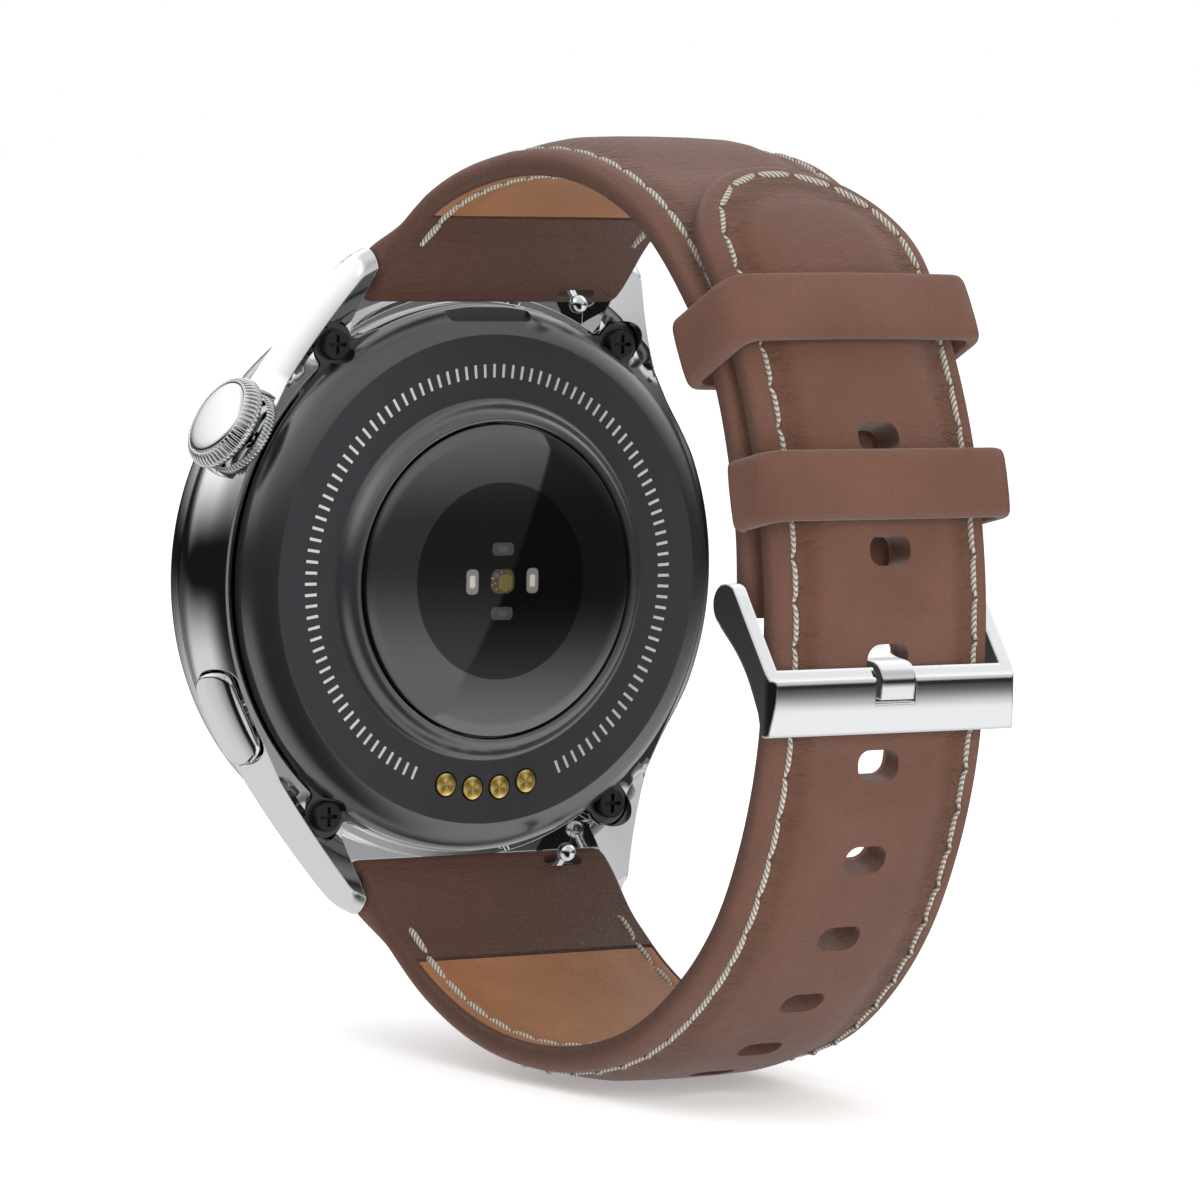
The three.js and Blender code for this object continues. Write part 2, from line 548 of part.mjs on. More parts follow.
/** Rise of the padded middle: it starts past the fold, thins away from the lugs and dies out at the end. */
function crownAt(distance, total) {
  const rise = THREE.MathUtils.clamp((distance - 2) / 8, 0, 1);
  const end = THREE.MathUtils.clamp((total - distance) / 6, 0, 1);
  return lerp(STRAP.crownAtLugs, STRAP.crown, THREE.MathUtils.clamp(distance / 45, 0, 1)) * rise * end;
}

/** The short strap is flat where the long one lies on it. */
const shortCrown = (s) => crownAt(s, shortLine.length) * (1 - 0.8 * THREE.MathUtils.smoothstep(s, 27, 33));

/** The long strap is pressed flat under the crossbar of the buckle. */
function longCrown(s) {
  const press = THREE.MathUtils.clamp(Math.abs(s - PRESSED.at) / PRESSED.reach - 0.6, 0, 1);
  return crownAt(s, longLine.length) * press;
}

function leather(line, from, to, steps, halfAt, bottom, risesAt) {
  const rows = [];
  for (let i = 0; i <= steps; i++) {
    const s = lerp(from, to, i / steps);
    const section = leatherSection(halfAt(s), bottom, risesAt(s));
    rows.push(section.map(([x, n]) => line.place(s, x, n)));
  }
  return solid(skin(rows, false));
}

/** The thin lining under one strap, from the end of the fold to a distance along the line. */
function lining(line, to, steps, halfAt) {
  const [low, high] = [-STRAP.edge / 2, -STRAP.edge / 2 + STRAP.lining];
  const rows = [];
  for (let i = 0; i <= steps; i++) {
    const s = lerp(WRAP_END + 0.1, to, i / steps);
    const half = halfAt(s) - 0.08;
    const ring = [[half - 0.15, low], [half, low + 0.15], [half, high], [-half, high], [-half, low + 0.15],
      [-half + 0.15, low]];
    rows.push(ring.map(([x, n]) => line.place(s, x, n)));
  }
  return solid(skin(rows, false));
}

/** The round end of a strap, where its leather folds over the spring bar. */
const barFold = (side) =>
  solid(prismX(circle(BAR.y, side * BAR.z, BAR.nose, 28), -STRAP.wide / 2, STRAP.wide / 2));

/** The spring bar's bore, with the slot that its release knob comes out of. */
function barBore(side) {
  const axis = (x) => vec(x, BAR.y, side * BAR.z);
  const bore = solid(rod(axis(-12), axis(12), BAR.tube + 0.15, 24));
  const [x0, x1] = [RELEASE.knobX - RELEASE.outward, RELEASE.knobX + RELEASE.throw + 0.55];
  const slot = new THREE.Shape(pill(x1 - x0, 1.2, 6).map(([a, b]) => new THREE.Vector2(a, b)));
  const cutter = new THREE.ExtrudeGeometry(slot, { depth: 5, bevelEnabled: false });
  const out = releaseDirection(side);
  const turn = new THREE.Matrix4().makeBasis(vec(1, 0, 0), out.clone().cross(vec(1, 0, 0)), out);
  cutter.applyMatrix4(turn).translate((x0 + x1) / 2, BAR.y, side * BAR.z);
  return bore.add(solid(cutter));
}

const releaseDirection = (side) => vec(0, RELEASE.y, -side * RELEASE.z).normalize();

function holeCutter(line, s, width, height) {
  const { point, tangent, normal } = line.at(s);
  const half = height * 0.42;
  const shape = new THREE.Shape();
  shape.moveTo(-width / 2 + half, -height / 2);
  shape.lineTo(width / 2 - half, -height / 2);
  shape.absarc(width / 2 - half, -height / 2 + half, half, -Math.PI / 2, 0);
  shape.absarc(width / 2 - half, height / 2 - half, half, 0, Math.PI / 2);
  shape.lineTo(-width / 2 + half, height / 2);
  shape.absarc(-width / 2 + half, height / 2 - half, half, Math.PI / 2, Math.PI);
  shape.absarc(-width / 2 + half, -height / 2 + half, half, Math.PI, 1.5 * Math.PI);
  const cutter = new THREE.ExtrudeGeometry(shape, { depth: 8, bevelEnabled: false, curveSegments: 1 });
  const across = vec(1, 0, 0);
  const along = normal.clone().cross(across);
  const turn = new THREE.Matrix4().makeBasis(across, along, normal);
  return solid(cutter.translate(0, 0, -4).applyMatrix4(turn).translate(point.x, point.y, point.z));
}

/** The outer leather of one strap: full depth where it folds back over the bar, then clear of the lining. */
function outerLeather(line, end, steps, halfAt, risesAt, side) {
  const full = -STRAP.edge / 2;
  const clear = full + STRAP.lining + 0.1;
  return leather(line, 0.6, WRAP_END, 6, halfAt, full, risesAt)
    .add(leather(line, WRAP_END - 0.2, end, steps, halfAt, clear, risesAt))
    .add(barFold(side));
}

function straps() {
  const halfShort = (s) => strapWidth(s) / 2;
  const halfLong = (s) => tipHalfWidth(s, longLine.length);
  const pivot = (x) => vec(x, PIVOT.y, PIVOT.z);
  const slot = TONGUE.width / 2 + 0.5;

  let short = outerLeather(shortLine, shortLine.length - 0.2, 14, halfShort, shortCrown, 1)
    .add(solid(prismX(circle(PIVOT.y, PIVOT.z, PIVOT.nose, 20), -STRAP.narrow / 2, STRAP.narrow / 2)));
  short = short.subtract(barBore(1))
    .subtract(solid(rod(pivot(-12), pivot(12), PIVOT.bar + 0.15, 18)))
    .subtract(solid(box(-slot, slot, PIVOT.y - 3, PIVOT.y + 3, -3, 3.6)))
    .subtract(keeperChannel());
  add('strap_short_outer', short, LEATHER);
  add('strap_short_lining', lining(shortLine, shortLine.length - 2.6, 14, halfShort), LINING);

  let long = outerLeather(longLine, longLine.length - 0.15, 28, halfLong, longCrown,
      -1).subtract(barBore(-1));
  let under = lining(longLine, longLine.length - 0.3, 24, halfLong);
  for (const s of HOLE_STATIONS) {
    long = long.subtract(holeCutter(longLine, s, HOLE.width, HOLE.height));
    under = under.subtract(holeCutter(longLine, s, HOLE.width, HOLE.height));
  }
  add('strap_long_outer', long, LEATHER);
  add('strap_long_lining', under, LINING);
}

// ---------------------------------------------------------------- spring bars
function springBars() {
  for (const [name, side] of [['top', 1], ['bottom', -1]]) {
    const at = (x, r = 0) => vec(x, BAR.y + r, side * BAR.z);
    const out = releaseDirection(side);
    let tube = solid(rod(at(-10.7), at(10.7), BAR.tube, 20)).add(solid(rod(at(10.5), at(11 + BAR.reach),
        0.45, 16)));
    tube = tube.subtract(solid(rod(at(-12), at(0.2), 0.62, 18)));
    const [x0, x1] = [RELEASE.knobX - 0.45, RELEASE.knobX + RELEASE.throw + 0.45];
    const slot = new THREE.BoxGeometry(x1 - x0, 0.9, 2).translate((x0 + x1) / 2, 0, 1);
    slot.applyMatrix4(new THREE.Matrix4().makeBasis(vec(1, 0, 0), out.clone().cross(vec(1, 0, 0)), out));
    tube = tube.subtract(solid(slot.translate(0, BAR.y, side * BAR.z)));
    add(`spring_bar_tube_${name}`, tube, STEEL);
    const knob = at(RELEASE.knobX).addScaledVector(out, Math.hypot(RELEASE.y, RELEASE.z));
    const ball = new THREE.SphereGeometry(RELEASE.knobRadius, 12, 8).translate(knob.x, knob.y, knob.z);
    const pin = solid(rod(at(-11 - BAR.reach), at(RELEASE.knobX + 0.4), 0.45, 16))
      .add(solid(rod(at(RELEASE.knobX), knob, 0.28, 12))).add(solid(ball));
    add(`quick_release_pin_${name}`, pin, STEEL);
    add(`pin_spring_${name}`, coilSpring(at(RELEASE.knobX + 0.45), at(0.15)), STEEL);
  }
}

function coilSpring(from, to) {
  const [turns, perTurn, radius, wire] = [6, 8, 0.4, 0.1];
  const points = [];
  const length = to.x - from.x - 2 * wire;
  for (let i = 0; i <= turns * perTurn; i++) {
    const a = (i / perTurn) * 2 * Math.PI;
    points.push(vec(from.x + wire + (length * i) / (turns * perTurn), from.y + radius * Math.cos(a),
      from.z + radius * Math.sin(a)));
  }
  const path = new THREE.CatmullRomCurve3(points);
  const section = new THREE.Shape(circle(0, 0, wire, 4).map(([a, b]) => new THREE.Vector2(a, b)));
  return new THREE.ExtrudeGeometry(section, { steps: turns * perTurn, extrudePath: path });
}

// ---------------------------------------------------------------- buckle
function buckle() {
  const { halfWidth, arm, eye, topY, topZ, lowY, lowZ, depth } = BUCKLE;
  // side view of an arm: a round eye at the pivot sweeping out to the crossbar
  const armOutline = [];
  for (let i = 0; i <= 8; i++) {
    const a = (65 + (i / 8) * 165) * RAD;
    armOutline.push([PIVOT.y + eye * Math.cos(a), PIVOT.z + eye * Math.sin(a)]);
  }
  armOutline.push([58.6, -1.0], [60.0, -2.5], [61.2, -4.6], [lowY - depth + 0.1, lowZ + 0.6], [lowY - 0.5,
      lowZ],
    [lowY, lowZ + 0.15], [topY, topZ - 0.15], [topY - 0.3, topZ], [61.3, -1.3], [60.1, 0.7], [59.0, 2.4]);
  const arms = [1, -1].map((side) => solid(prismX(armOutline, side > 0 ? halfWidth - arm : -halfWidth,
    side > 0 ? halfWidth : -halfWidth + arm)));
  const bar = prismX([[topY - depth, topZ], [topY - 0.3, topZ], [topY, topZ - 0.25], [lowY, lowZ + 0.25],
    [lowY - 0.3, lowZ], [lowY - depth + 0.1, lowZ]], -halfWidth, halfWidth);
  let frame = arms[0].add(arms[1]).add(solid(bar));
  frame = frame.intersect(roundedFront());
  for (const side of [1, -1]) {
    const inner = vec(side * (halfWidth - arm - 0.5), PIVOT.y, PIVOT.z);
    frame = frame.subtract(solid(rod(inner, vec(side * (halfWidth - 0.25), PIVOT.y, PIVOT.z),
        PIVOT.bar + 0.2, 18)));
  }
  const notch = box(-TONGUE.width / 2 - 0.3, TONGUE.width / 2 + 0.3, 60, 66, -4.75, -2);
  frame = frame.subtract(solid(notch).intersect(solid(box(-3, 3, topY - 0.75, 66, -4.75, -2))));
  add('buckle_frame', frame, STEEL);
  add('buckle_bar', rod(vec(-halfWidth + 0.45, PIVOT.y, PIVOT.z), vec(halfWidth - 0.45, PIVOT.y, PIVOT.z),
    PIVOT.bar, 20), STEEL);
  add('buckle_tongue', tongue(), STEEL);
}

/** Limits the buckle's outline so that its front corners are round when seen from the end. */
function roundedFront() {
  const [w, r] = [BUCKLE.halfWidth, 1.1];
  const front = 63.2;
  const outline = [[-w, 50], [w, 50]];
  for (let i = 0; i <= 4; i++) {
    const a = (i / 4) * 90 * RAD;
    outline.push([w - r + r * Math.cos(a), front - r + r * Math.sin(a)]);
  }
  for (let i = 0; i <= 4; i++) {
    const a = (90 + (i / 4) * 90) * RAD;
    outline.push([-w + r + r * Math.cos(a), front - r + r * Math.sin(a)]);
  }
  const shape = new THREE.Shape(outline.map(([x, y]) => new THREE.Vector2(x, y)));
  return solid(new THREE.ExtrudeGeometry(shape, { depth: 20, bevelEnabled: false }).translate(0, 0, -12));
}

/** The tongue: a ring on the pivot bar, under the strap, up through a hole and down onto the crossbar. */
function tongue() {
  const route = [[58.0, 0.95], [58.75, -0.75], [59.65, -1.85], [61.3, -2.15], [62.4, -2.35], [62.85, -3.05],
    [62.65, -4.45]];
  const t = TONGUE.thickness / 2;
  const upper = [];
  const lower = [];
  route.forEach(([y, z], i) => {
    const [y0, z0] = route[Math.max(0, i - 1)];
    const [y1, z1] = route[Math.min(route.length - 1, i + 1)];
    const length = Math.hypot(y1 - y0, z1 - z0);
    const [ny, nz] = [-(z1 - z0) / length, (y1 - y0) / length];
    upper.push([y + ny * t, z + nz * t]);
    lower.unshift([y - ny * t, z - nz * t]);
  });
  const blade = solid(prismX([...upper, ...lower].reverse(), -TONGUE.width / 2, TONGUE.width / 2));
  const ring = solid(prismX(circle(PIVOT.y, PIVOT.z, 1.15, 20), -TONGUE.width / 2, TONGUE.width / 2));
  const bore = solid(rod(vec(-3, PIVOT.y, PIVOT.z), vec(3, PIVOT.y, PIVOT.z), PIVOT.bar + 0.12, 18));
  return blade.add(ring).subtract(bore);
}

// ---------------------------------------------------------------- keepers
/** Height of the middle of each keeper on the buckle side of the long strap. */
const FIXED_KEEPER_Z = 9.6;
const FREE_KEEPER_Z = 20.9;

/** The distance along a line, past from, at which its height is nearest z. */
function distanceAt(line, z, from) {
  let best = from;
  for (let s = from; s < line.length; s += 0.1) {
    if (Math.abs(line.at(s).point.z - z) < Math.abs(line.at(best).point.z - z)) best = s;
  }
  return best;
}

function keeperFrame(z) {
  const { point, normal } = longLine.at(distanceAt(longLine, z, 66));
  return { point, normal, along: vec(1, 0, 0).cross(normal) };
}

/** Lowest and highest reach of one face of a strap inside a keeper, along the keeper's normal. */
function reach(frame, line, from, n) {
  const depths = [];
  for (let s = from; s < line.length; s += 0.2) {
    const offset = line.place(s, 0, n).sub(frame.point);
    if (Math.abs(offset.dot(frame.along)) <= KEEPER.height / 2 + 0.1) depths.push(offset.dot(frame.normal));
  }
  return [Math.min(...depths), Math.max(...depths)];
}

/** A closed rectangular band whose inside runs from low to high along the frame's normal. */
function band(frame, low, high, height, thickness, halfWidth, backThickness = thickness) {
  const outline = (grow, back, r) => {
    const [w, a, b] = [halfWidth + grow, low - back, high + grow];
    const q = Math.min(r, back + 0.1);
    const shape = new THREE.Shape();
    shape.moveTo(-w + q, a);
    shape.lineTo(w - q, a);
    shape.absarc(w - q, a + q, q, -Math.PI / 2, 0);
    shape.absarc(w - r, b - r, r, 0, Math.PI / 2);
    shape.absarc(-w + r, b - r, r, Math.PI / 2, Math.PI);
    shape.absarc(-w + q, a + q, q, Math.PI, 1.5 * Math.PI);
    return shape;
  };
  const outer = outline(thickness, backThickness, 1.5);
  const inner = outline(0, 0, 0.35);
  const turn = new THREE.Matrix4().makeBasis(vec(1, 0, 0), frame.normal, frame.along);
  const make = (shape, depth) => new THREE.ExtrudeGeometry(shape, { depth, bevelEnabled: false,
      curveSegments: 4 })
    .translate(0, 0, -depth / 2).applyMatrix4(turn).translate(frame.point.x, frame.point.y, frame.point.z);
  return solid(make(outer, height)).subtract(solid(make(inner, height + 2)));
}

const HALF = STRAP.narrow / 2 + KEEPER.clear;
const FOOT = 0.3;

/** The sewn-in foot of the fixed keeper lies between the short strap's leather and its lining. */
function fixedKeeper() {
  const frame = keeperFrame(FIXED_KEEPER_Z);
  const foot = reach(frame, shortLine, 30, -STRAP.edge / 2 + STRAP.lining + 0.1)[1];
  const top = reach(frame, longLine, 66, STRAP.edge / 2 + STRAP.crown)[1] + KEEPER.clear;
  return band(frame, foot + FOOT + 0.12, top, KEEPER.height, KEEPER.thickness, HALF, FOOT);
}

function keeperChannel() {
  const frame = keeperFrame(FIXED_KEEPER_Z);
  const [low, high] = reach(frame, shortLine, 30, -STRAP.edge / 2 + STRAP.lining + 0.1);
  const turn = new THREE.Matrix4().makeBasis(vec(1, 0, 0), frame.normal, frame.along);
  const thick = high + FOOT + 0.35 - (low - 0.6);
  const slab = new THREE.BoxGeometry(30, thick, KEEPER.height + 0.5).translate(0, low - 0.6 + thick / 2, 0);
  return solid(slab.applyMatrix4(turn).translate(frame.point.x, frame.point.y, frame.point.z));
}

function freeKeeper() {
  const frame = keeperFrame(FREE_KEEPER_Z);
  const low = reach(frame, shortLine, 30, -STRAP.edge / 2)[0] - KEEPER.clear;
  const high = reach(frame, longLine, 66, STRAP.edge / 2 + STRAP.crown)[1] + KEEPER.clear;
  return band(frame, low, high, KEEPER.height, KEEPER.thickness, HALF);
}

function keepers() {
  add('keeper_fixed', fixedKeeper(), LEATHER);
  add('keeper_free', freeKeeper(), LEATHER);
}

add('case_body', caseBody(), STEEL);
frontAndInside();
backOfCase();
crown();
button();
straps();
springBars();
buckle();
keepers();

export default watch;
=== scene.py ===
"""Looks of a round smartwatch on a buckled leather strap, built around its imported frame.

Sizes are in millimetres until a mesh is made, when they become metres. The watch axis is Y, the
display faces -Y, +Z is 12 o'clock and +X is 3 o'clock.
"""

import logging
import math
from dataclasses import dataclass
from enum import Enum
from typing import Any, Callable, Iterable, Sequence

import bpy
import numpy as np
from mathutils import Matrix, Vector


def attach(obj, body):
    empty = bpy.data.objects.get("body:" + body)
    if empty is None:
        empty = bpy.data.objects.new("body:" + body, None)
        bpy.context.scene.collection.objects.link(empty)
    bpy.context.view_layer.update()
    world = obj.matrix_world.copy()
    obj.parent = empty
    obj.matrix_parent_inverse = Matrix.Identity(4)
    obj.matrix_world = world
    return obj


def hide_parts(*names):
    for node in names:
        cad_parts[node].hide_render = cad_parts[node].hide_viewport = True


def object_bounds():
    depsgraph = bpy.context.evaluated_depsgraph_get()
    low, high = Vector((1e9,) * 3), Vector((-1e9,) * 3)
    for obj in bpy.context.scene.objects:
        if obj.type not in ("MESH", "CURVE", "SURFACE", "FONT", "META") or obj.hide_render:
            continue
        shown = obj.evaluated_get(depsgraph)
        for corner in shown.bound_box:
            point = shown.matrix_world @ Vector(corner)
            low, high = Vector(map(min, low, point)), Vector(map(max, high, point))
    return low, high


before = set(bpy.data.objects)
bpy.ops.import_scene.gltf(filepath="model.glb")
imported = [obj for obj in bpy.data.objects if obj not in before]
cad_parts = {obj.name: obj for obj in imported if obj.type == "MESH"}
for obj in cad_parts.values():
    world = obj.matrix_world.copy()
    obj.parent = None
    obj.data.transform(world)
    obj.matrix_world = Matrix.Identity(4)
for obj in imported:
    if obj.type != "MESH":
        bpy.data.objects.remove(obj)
CAD_BOX = [list(map(float, corner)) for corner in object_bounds()]

LOG = logging.getLogger("smartwatch")
MM = 0.001
RAD = math.pi / 180
WATCH = "watch"
Pair = tuple[float, float]
Triple = tuple[float, float, float]

BAR: Pair = (10.5, 22.65)  # height and distance from the centre of both spring bars
KNOB_X = -6.55  # the quick-release knob along its bar
KNOB_OUT: Pair = (2.1, 2.05)  # from the bar to its knob, towards the wrist and the centre
SCREW_AT: Pair = (12.6, 17.47)
BUTTON_ROOM = 0.2  # clearance of the side button in its slot


class Slot(str, Enum):
    """Kinds of material that new pieces take."""

    STEEL = "polished_steel"
    SCREW = "black_metal"
    POLYMER = "black_polymer"
    GLASS = "black_glass"
    LEATHER = "brown_leather"
    LINING = "tan_lining"
    GOLD = "gold_plate"


class Cut(str, Enum):
    """How one solid changes another."""

    OFF = "DIFFERENCE"
    ON = "UNION"
    KEEP = "INTERSECT"


# ------------------------------------------------------------------ node trees


class Field:
    """A number socket of a node tree that can be written in an expression."""

    def __init__(self, tree: "Tree", socket: Any) -> None:
        """Wraps a socket of a tree."""
        self.tree = tree
        self.socket = socket

    def _math(self, operation: str, *values: Any) -> "Field":
        """Adds one Math node and returns its result."""
        return self.tree.math(operation, *values)

    def __add__(self, other: Any) -> "Field":
        """Sum."""
        return self._math("ADD", self, other)

    def __sub__(self, other: Any) -> "Field":
        """Difference."""
        return self._math("SUBTRACT", self, other)

    def __rsub__(self, other: Any) -> "Field":
        """Difference from a number."""
        return self._math("SUBTRACT", other, self)

    def __mul__(self, other: Any) -> "Field":
        """Product."""
        return self._math("MULTIPLY", self, other)

    __radd__ = __add__
    __rmul__ = __mul__

    def abs(self) -> "Field":
        """Size without its sign."""
        return self._math("ABSOLUTE", self)

    def step(self, low: float, high: float) -> "Field":
        """Smooth rise from 0 at low to 1 at high.

        Args:
            low: Value that gives 0.
            high: Value that gives 1.

        Returns:
            The eased share.
        """
        node = self.tree.node(
            "ShaderNodeMapRange",
            {"interpolation_type": "SMOOTHSTEP"},
            {0: self, 1: low, 2: high, 3: 0.0, 4: 1.0},
        )
        return Field(self.tree, node.outputs[0])

    def bell(self, centre: float, width: float) -> "Field":
        """Smooth bump that is 1 at the centre and 0 a width away."""
        return 1 - (self - centre).abs().step(0.0, width)


class Tree:
    """Writes nodes into a shader or geometry node tree."""

    def __init__(self, tree: Any) -> None:
        """Starts from an empty or existing tree."""
        self.tree = tree

    def node(self, kind: str, settings: dict[str, Any] | None = None,
             inputs: dict[Any, Any] | None = None) -> Any:
        """Adds a node.

        Args:
            kind: Type of the node.
            settings: Its properties, set before its sockets.
            inputs: Value or link of each socket, by name or place.

        Returns:
            The new node.
        """
        made = self.tree.nodes.new(kind)
        for name, value in (settings or {}).items():
            setattr(made, name, value)
        for key, value in (inputs or {}).items():
            self.feed(made.inputs[key], value)
        return made

    def feed(self, socket: Any, value: Any) -> None:
        """Links a socket, or sets its value.

        Args:
            socket: Input to fill.
            value: A field, a socket or a plain value.
        """
        if isinstance(value, Field):
            self.tree.links.new(value.socket, socket)
        elif isinstance(value, bpy.types.NodeSocket):
            self.tree.links.new(value, socket)
        else:
            socket.default_value = value

    def math(self, operation: str, *values: Any) -> Field:
        """Adds a Math node."""
        made = self.node("ShaderNodeMath", {"operation": operation}, dict(enumerate(values)))
        return Field(self, made.outputs[0])


class Shader(Tree):
    """A material's node tree around one Principled shader."""

    def __init__(self, name: str) -> None:
        """Makes the material and finds its shader.

        Args:
            name: Name of the material.
        """
        self.material = bpy.data.materials.new(name)
        self.material.use_nodes = True
        super().__init__(self.material.node_tree)
        self.surface = self.tree.nodes["Principled BSDF"]

    def place(self) -> Any:
        """Object coordinates."""
        return self.node("ShaderNodeTexCoord").outputs["Object"]

    def uv(self, layer: str) -> tuple[Field, Field]:
        """Both coordinates of a UV map, in millimetres.

        Args:
            layer: Name of the map.

        Returns:
            First and second coordinate.
        """
        source = self.node("ShaderNodeUVMap", {"uv_map": layer}).outputs[0]
        parts = self.node("ShaderNodeSeparateXYZ", None, {0: source})
        return Field(self, parts.outputs[0]), Field(self, parts.outputs[1])

    def split(self, vector: Any) -> tuple[Field, Field, Field]:
        """Three parts of a vector, in millimetres for a place in metres."""
        parts = self.node("ShaderNodeSeparateXYZ", None, {0: vector})
        return tuple(Field(self, parts.outputs[i]) * (1 / MM) for i in range(3))

    def vector(self, x: Any, y: Any, z: Any = 0.0) -> Any:
        """A vector from three numbers."""
        return self.node("ShaderNodeCombineXYZ", None, {0: x, 1: y, 2: z}).outputs[0]

    def noise(self, vector: Any, scale: float, detail: float = 3.0, rough: float = 0.55,
              bend: float = 0.0) -> Field:
        """Soft noise from 0 to 1."""
        settings = {0: vector, "Scale": scale, "Detail": detail, "Roughness": rough, "Distortion": bend}
        return Field(self, self.node("ShaderNodeTexNoise", None, settings).outputs[0])

    def cells(self, vector: Any, scale: float, feature: str = "F1") -> Field:
        """Distance to the nearest cell or cell wall."""
        made = self.node("ShaderNodeTexVoronoi", {"feature": feature}, {"Vector": vector, "Scale": scale})
        return Field(self, made.outputs["Distance"])

    def mix(self, share: Any, first: Any, second: Any) -> Any:
        """Blends two colours."""
        made = self.node("ShaderNodeMix", {"data_type": "RGBA"}, {0: share, 6: first, 7: second})
        return made.outputs[2]

    def bump(self, height: Any, depth: float, normal: Any = None, strength: float = 1.0) -> Any:
        """A normal disturbed by a height of so many metres.

        Args:
            height: Height from 0 up.
            depth: Metres for a height of 1.
            normal: Normal to start from.
            strength: Share of the effect.

        Returns:
            The disturbed normal.
        """
        inputs = {"Height": height, "Distance": depth, "Strength": strength}
        if normal is not None:
            inputs["Normal"] = normal
        return self.node("ShaderNodeBump", None, inputs).outputs[0]

    def eased(self, radius: float) -> Any:
        """A normal that rounds every edge by a radius in metres."""
        return self.node("ShaderNodeBevel", {"samples": 4}, {"Radius": radius}).outputs[0]

    def dress(self, **sockets: Any) -> bpy.types.Material:
        """Sets the shader's sockets, written with underscores for spaces, and returns the material."""
        for name, value in sockets.items():
            self.feed(self.surface.inputs[name.replace("_", " ")], value)
        return self.material


def tinted(colour: Sequence[float]) -> tuple[float, float, float, float]:
    """A colour with full alpha."""
    return (*colour[:3], 1.0)


# ------------------------------------------------------------------ finishes


@dataclass(frozen=True)
class PolishedMetal:
    """Mirror-polished or satin metal with faint hairlines."""

    name: str
    colour: Triple = (0.80, 0.81, 0.82)
    roughness: float = 0.035
    edge: float = 0.00009

    def material(self) -> bpy.types.Material:
        """Builds the material.

        Returns:
            The finished material.
        """
        shader = Shader(self.name)
        place = shader.place()
        smudge = shader.noise(place, 260.0, 4.0)
        hair = shader.noise(shader.node("ShaderNodeMapping", None,
                                        {0: place, 3: (900.0, 5200.0, 900.0)}).outputs[0], 1.0)
        return shader.dress(
            Base_Color=tinted(self.colour),
            Metallic=1.0,
            Roughness=smudge.step(0.45, 0.75) * 0.02 + self.roughness,
            Normal=shader.bump(hair, 0.0000006, shader.eased(self.edge), 0.25),
        )


@dataclass(frozen=True)
class SpunGoldPaintedSheen:
    """Spun gold plate with a painted reflection: light and dark sectors about each contact's own centre
    stand in for its sheen, over fine turned rings in the bump.
    """

    name: str
    centre: Pair
    roughness: float = 0.22

    def material(self) -> bpy.types.Material:
        """Builds the material.

        Returns:
            The finished material.
        """
        shader = Shader(self.name)
        x, _, z = shader.split(shader.place())
        angle = shader.math("ARCTAN2", z - self.centre[1], x - self.centre[0])
        # Painted reflection: the colour swings between dark and bright gold in sectors round the contact,
        # standing in for the sheen of spun metal.
        painted_sheen = shader.math("COSINE", angle * 4 + 0.6) * 0.5 + 0.5
        rings = shader.math("SINE", shader.math("SQRT", (x - self.centre[0]) * (x - self.centre[0])
                            + (z - self.centre[1]) * (z - self.centre[1])) * 90)
        colour = shader.mix(painted_sheen, (0.60, 0.36, 0.055, 1), (1.0, 0.80, 0.32, 1))
        return shader.dress(
            Base_Color=colour, Metallic=1.0, Roughness=self.roughness,
            Normal=shader.bump(rings, 0.000002, shader.eased(0.00006), 0.4),
        )


@dataclass(frozen=True)
class Polymer:
    """Black moulded polymer: matte on the flat back, glossier on its sloping rim."""

    name: str
    colour: Triple = (0.029, 0.0305, 0.0355)
    flat_rough: float = 0.5
    rim_rough: float = 0.26
    flat_radius: float = 18.3

    def material(self) -> bpy.types.Material:
        """Builds the material.

        Returns:
            The finished material.
        """
        shader = Shader(self.name)
        place = shader.place()
        x, _, z = shader.split(place)
        radius = shader.math("SQRT", x * x + z * z)
        rim = radius.step(self.flat_radius - 0.05, self.flat_radius + 0.05)
        inner = 1 - radius.step(13.45, 13.6)
        gloss = shader.math("MAXIMUM", rim, inner)
        grain = shader.noise(place, 5200.0, 2.0)
        cloud = shader.noise(place, 180.0, 3.0)
        dust = shader.cells(place, 900.0).step(0.02, 0.05)
        base = shader.mix(cloud.step(0.3, 0.7), tinted([c * 0.93 for c in self.colour]), tinted(self.colour))
        base = shader.mix(rim, base, tinted([c * 0.55 for c in self.colour]))
        rough = gloss * (self.rim_rough - self.flat_rough) + self.flat_rough
        rough = rough + cloud * 0.06 + (1 - dust) * 0.05
        return shader.dress(
            Base_Color=base, Roughness=rough, Coat_Weight=gloss, Coat_IOR=1.95, Coat_Roughness=0.22,
            Normal=shader.bump(grain, 0.000012, shader.eased(0.00007), 0.25),
        )


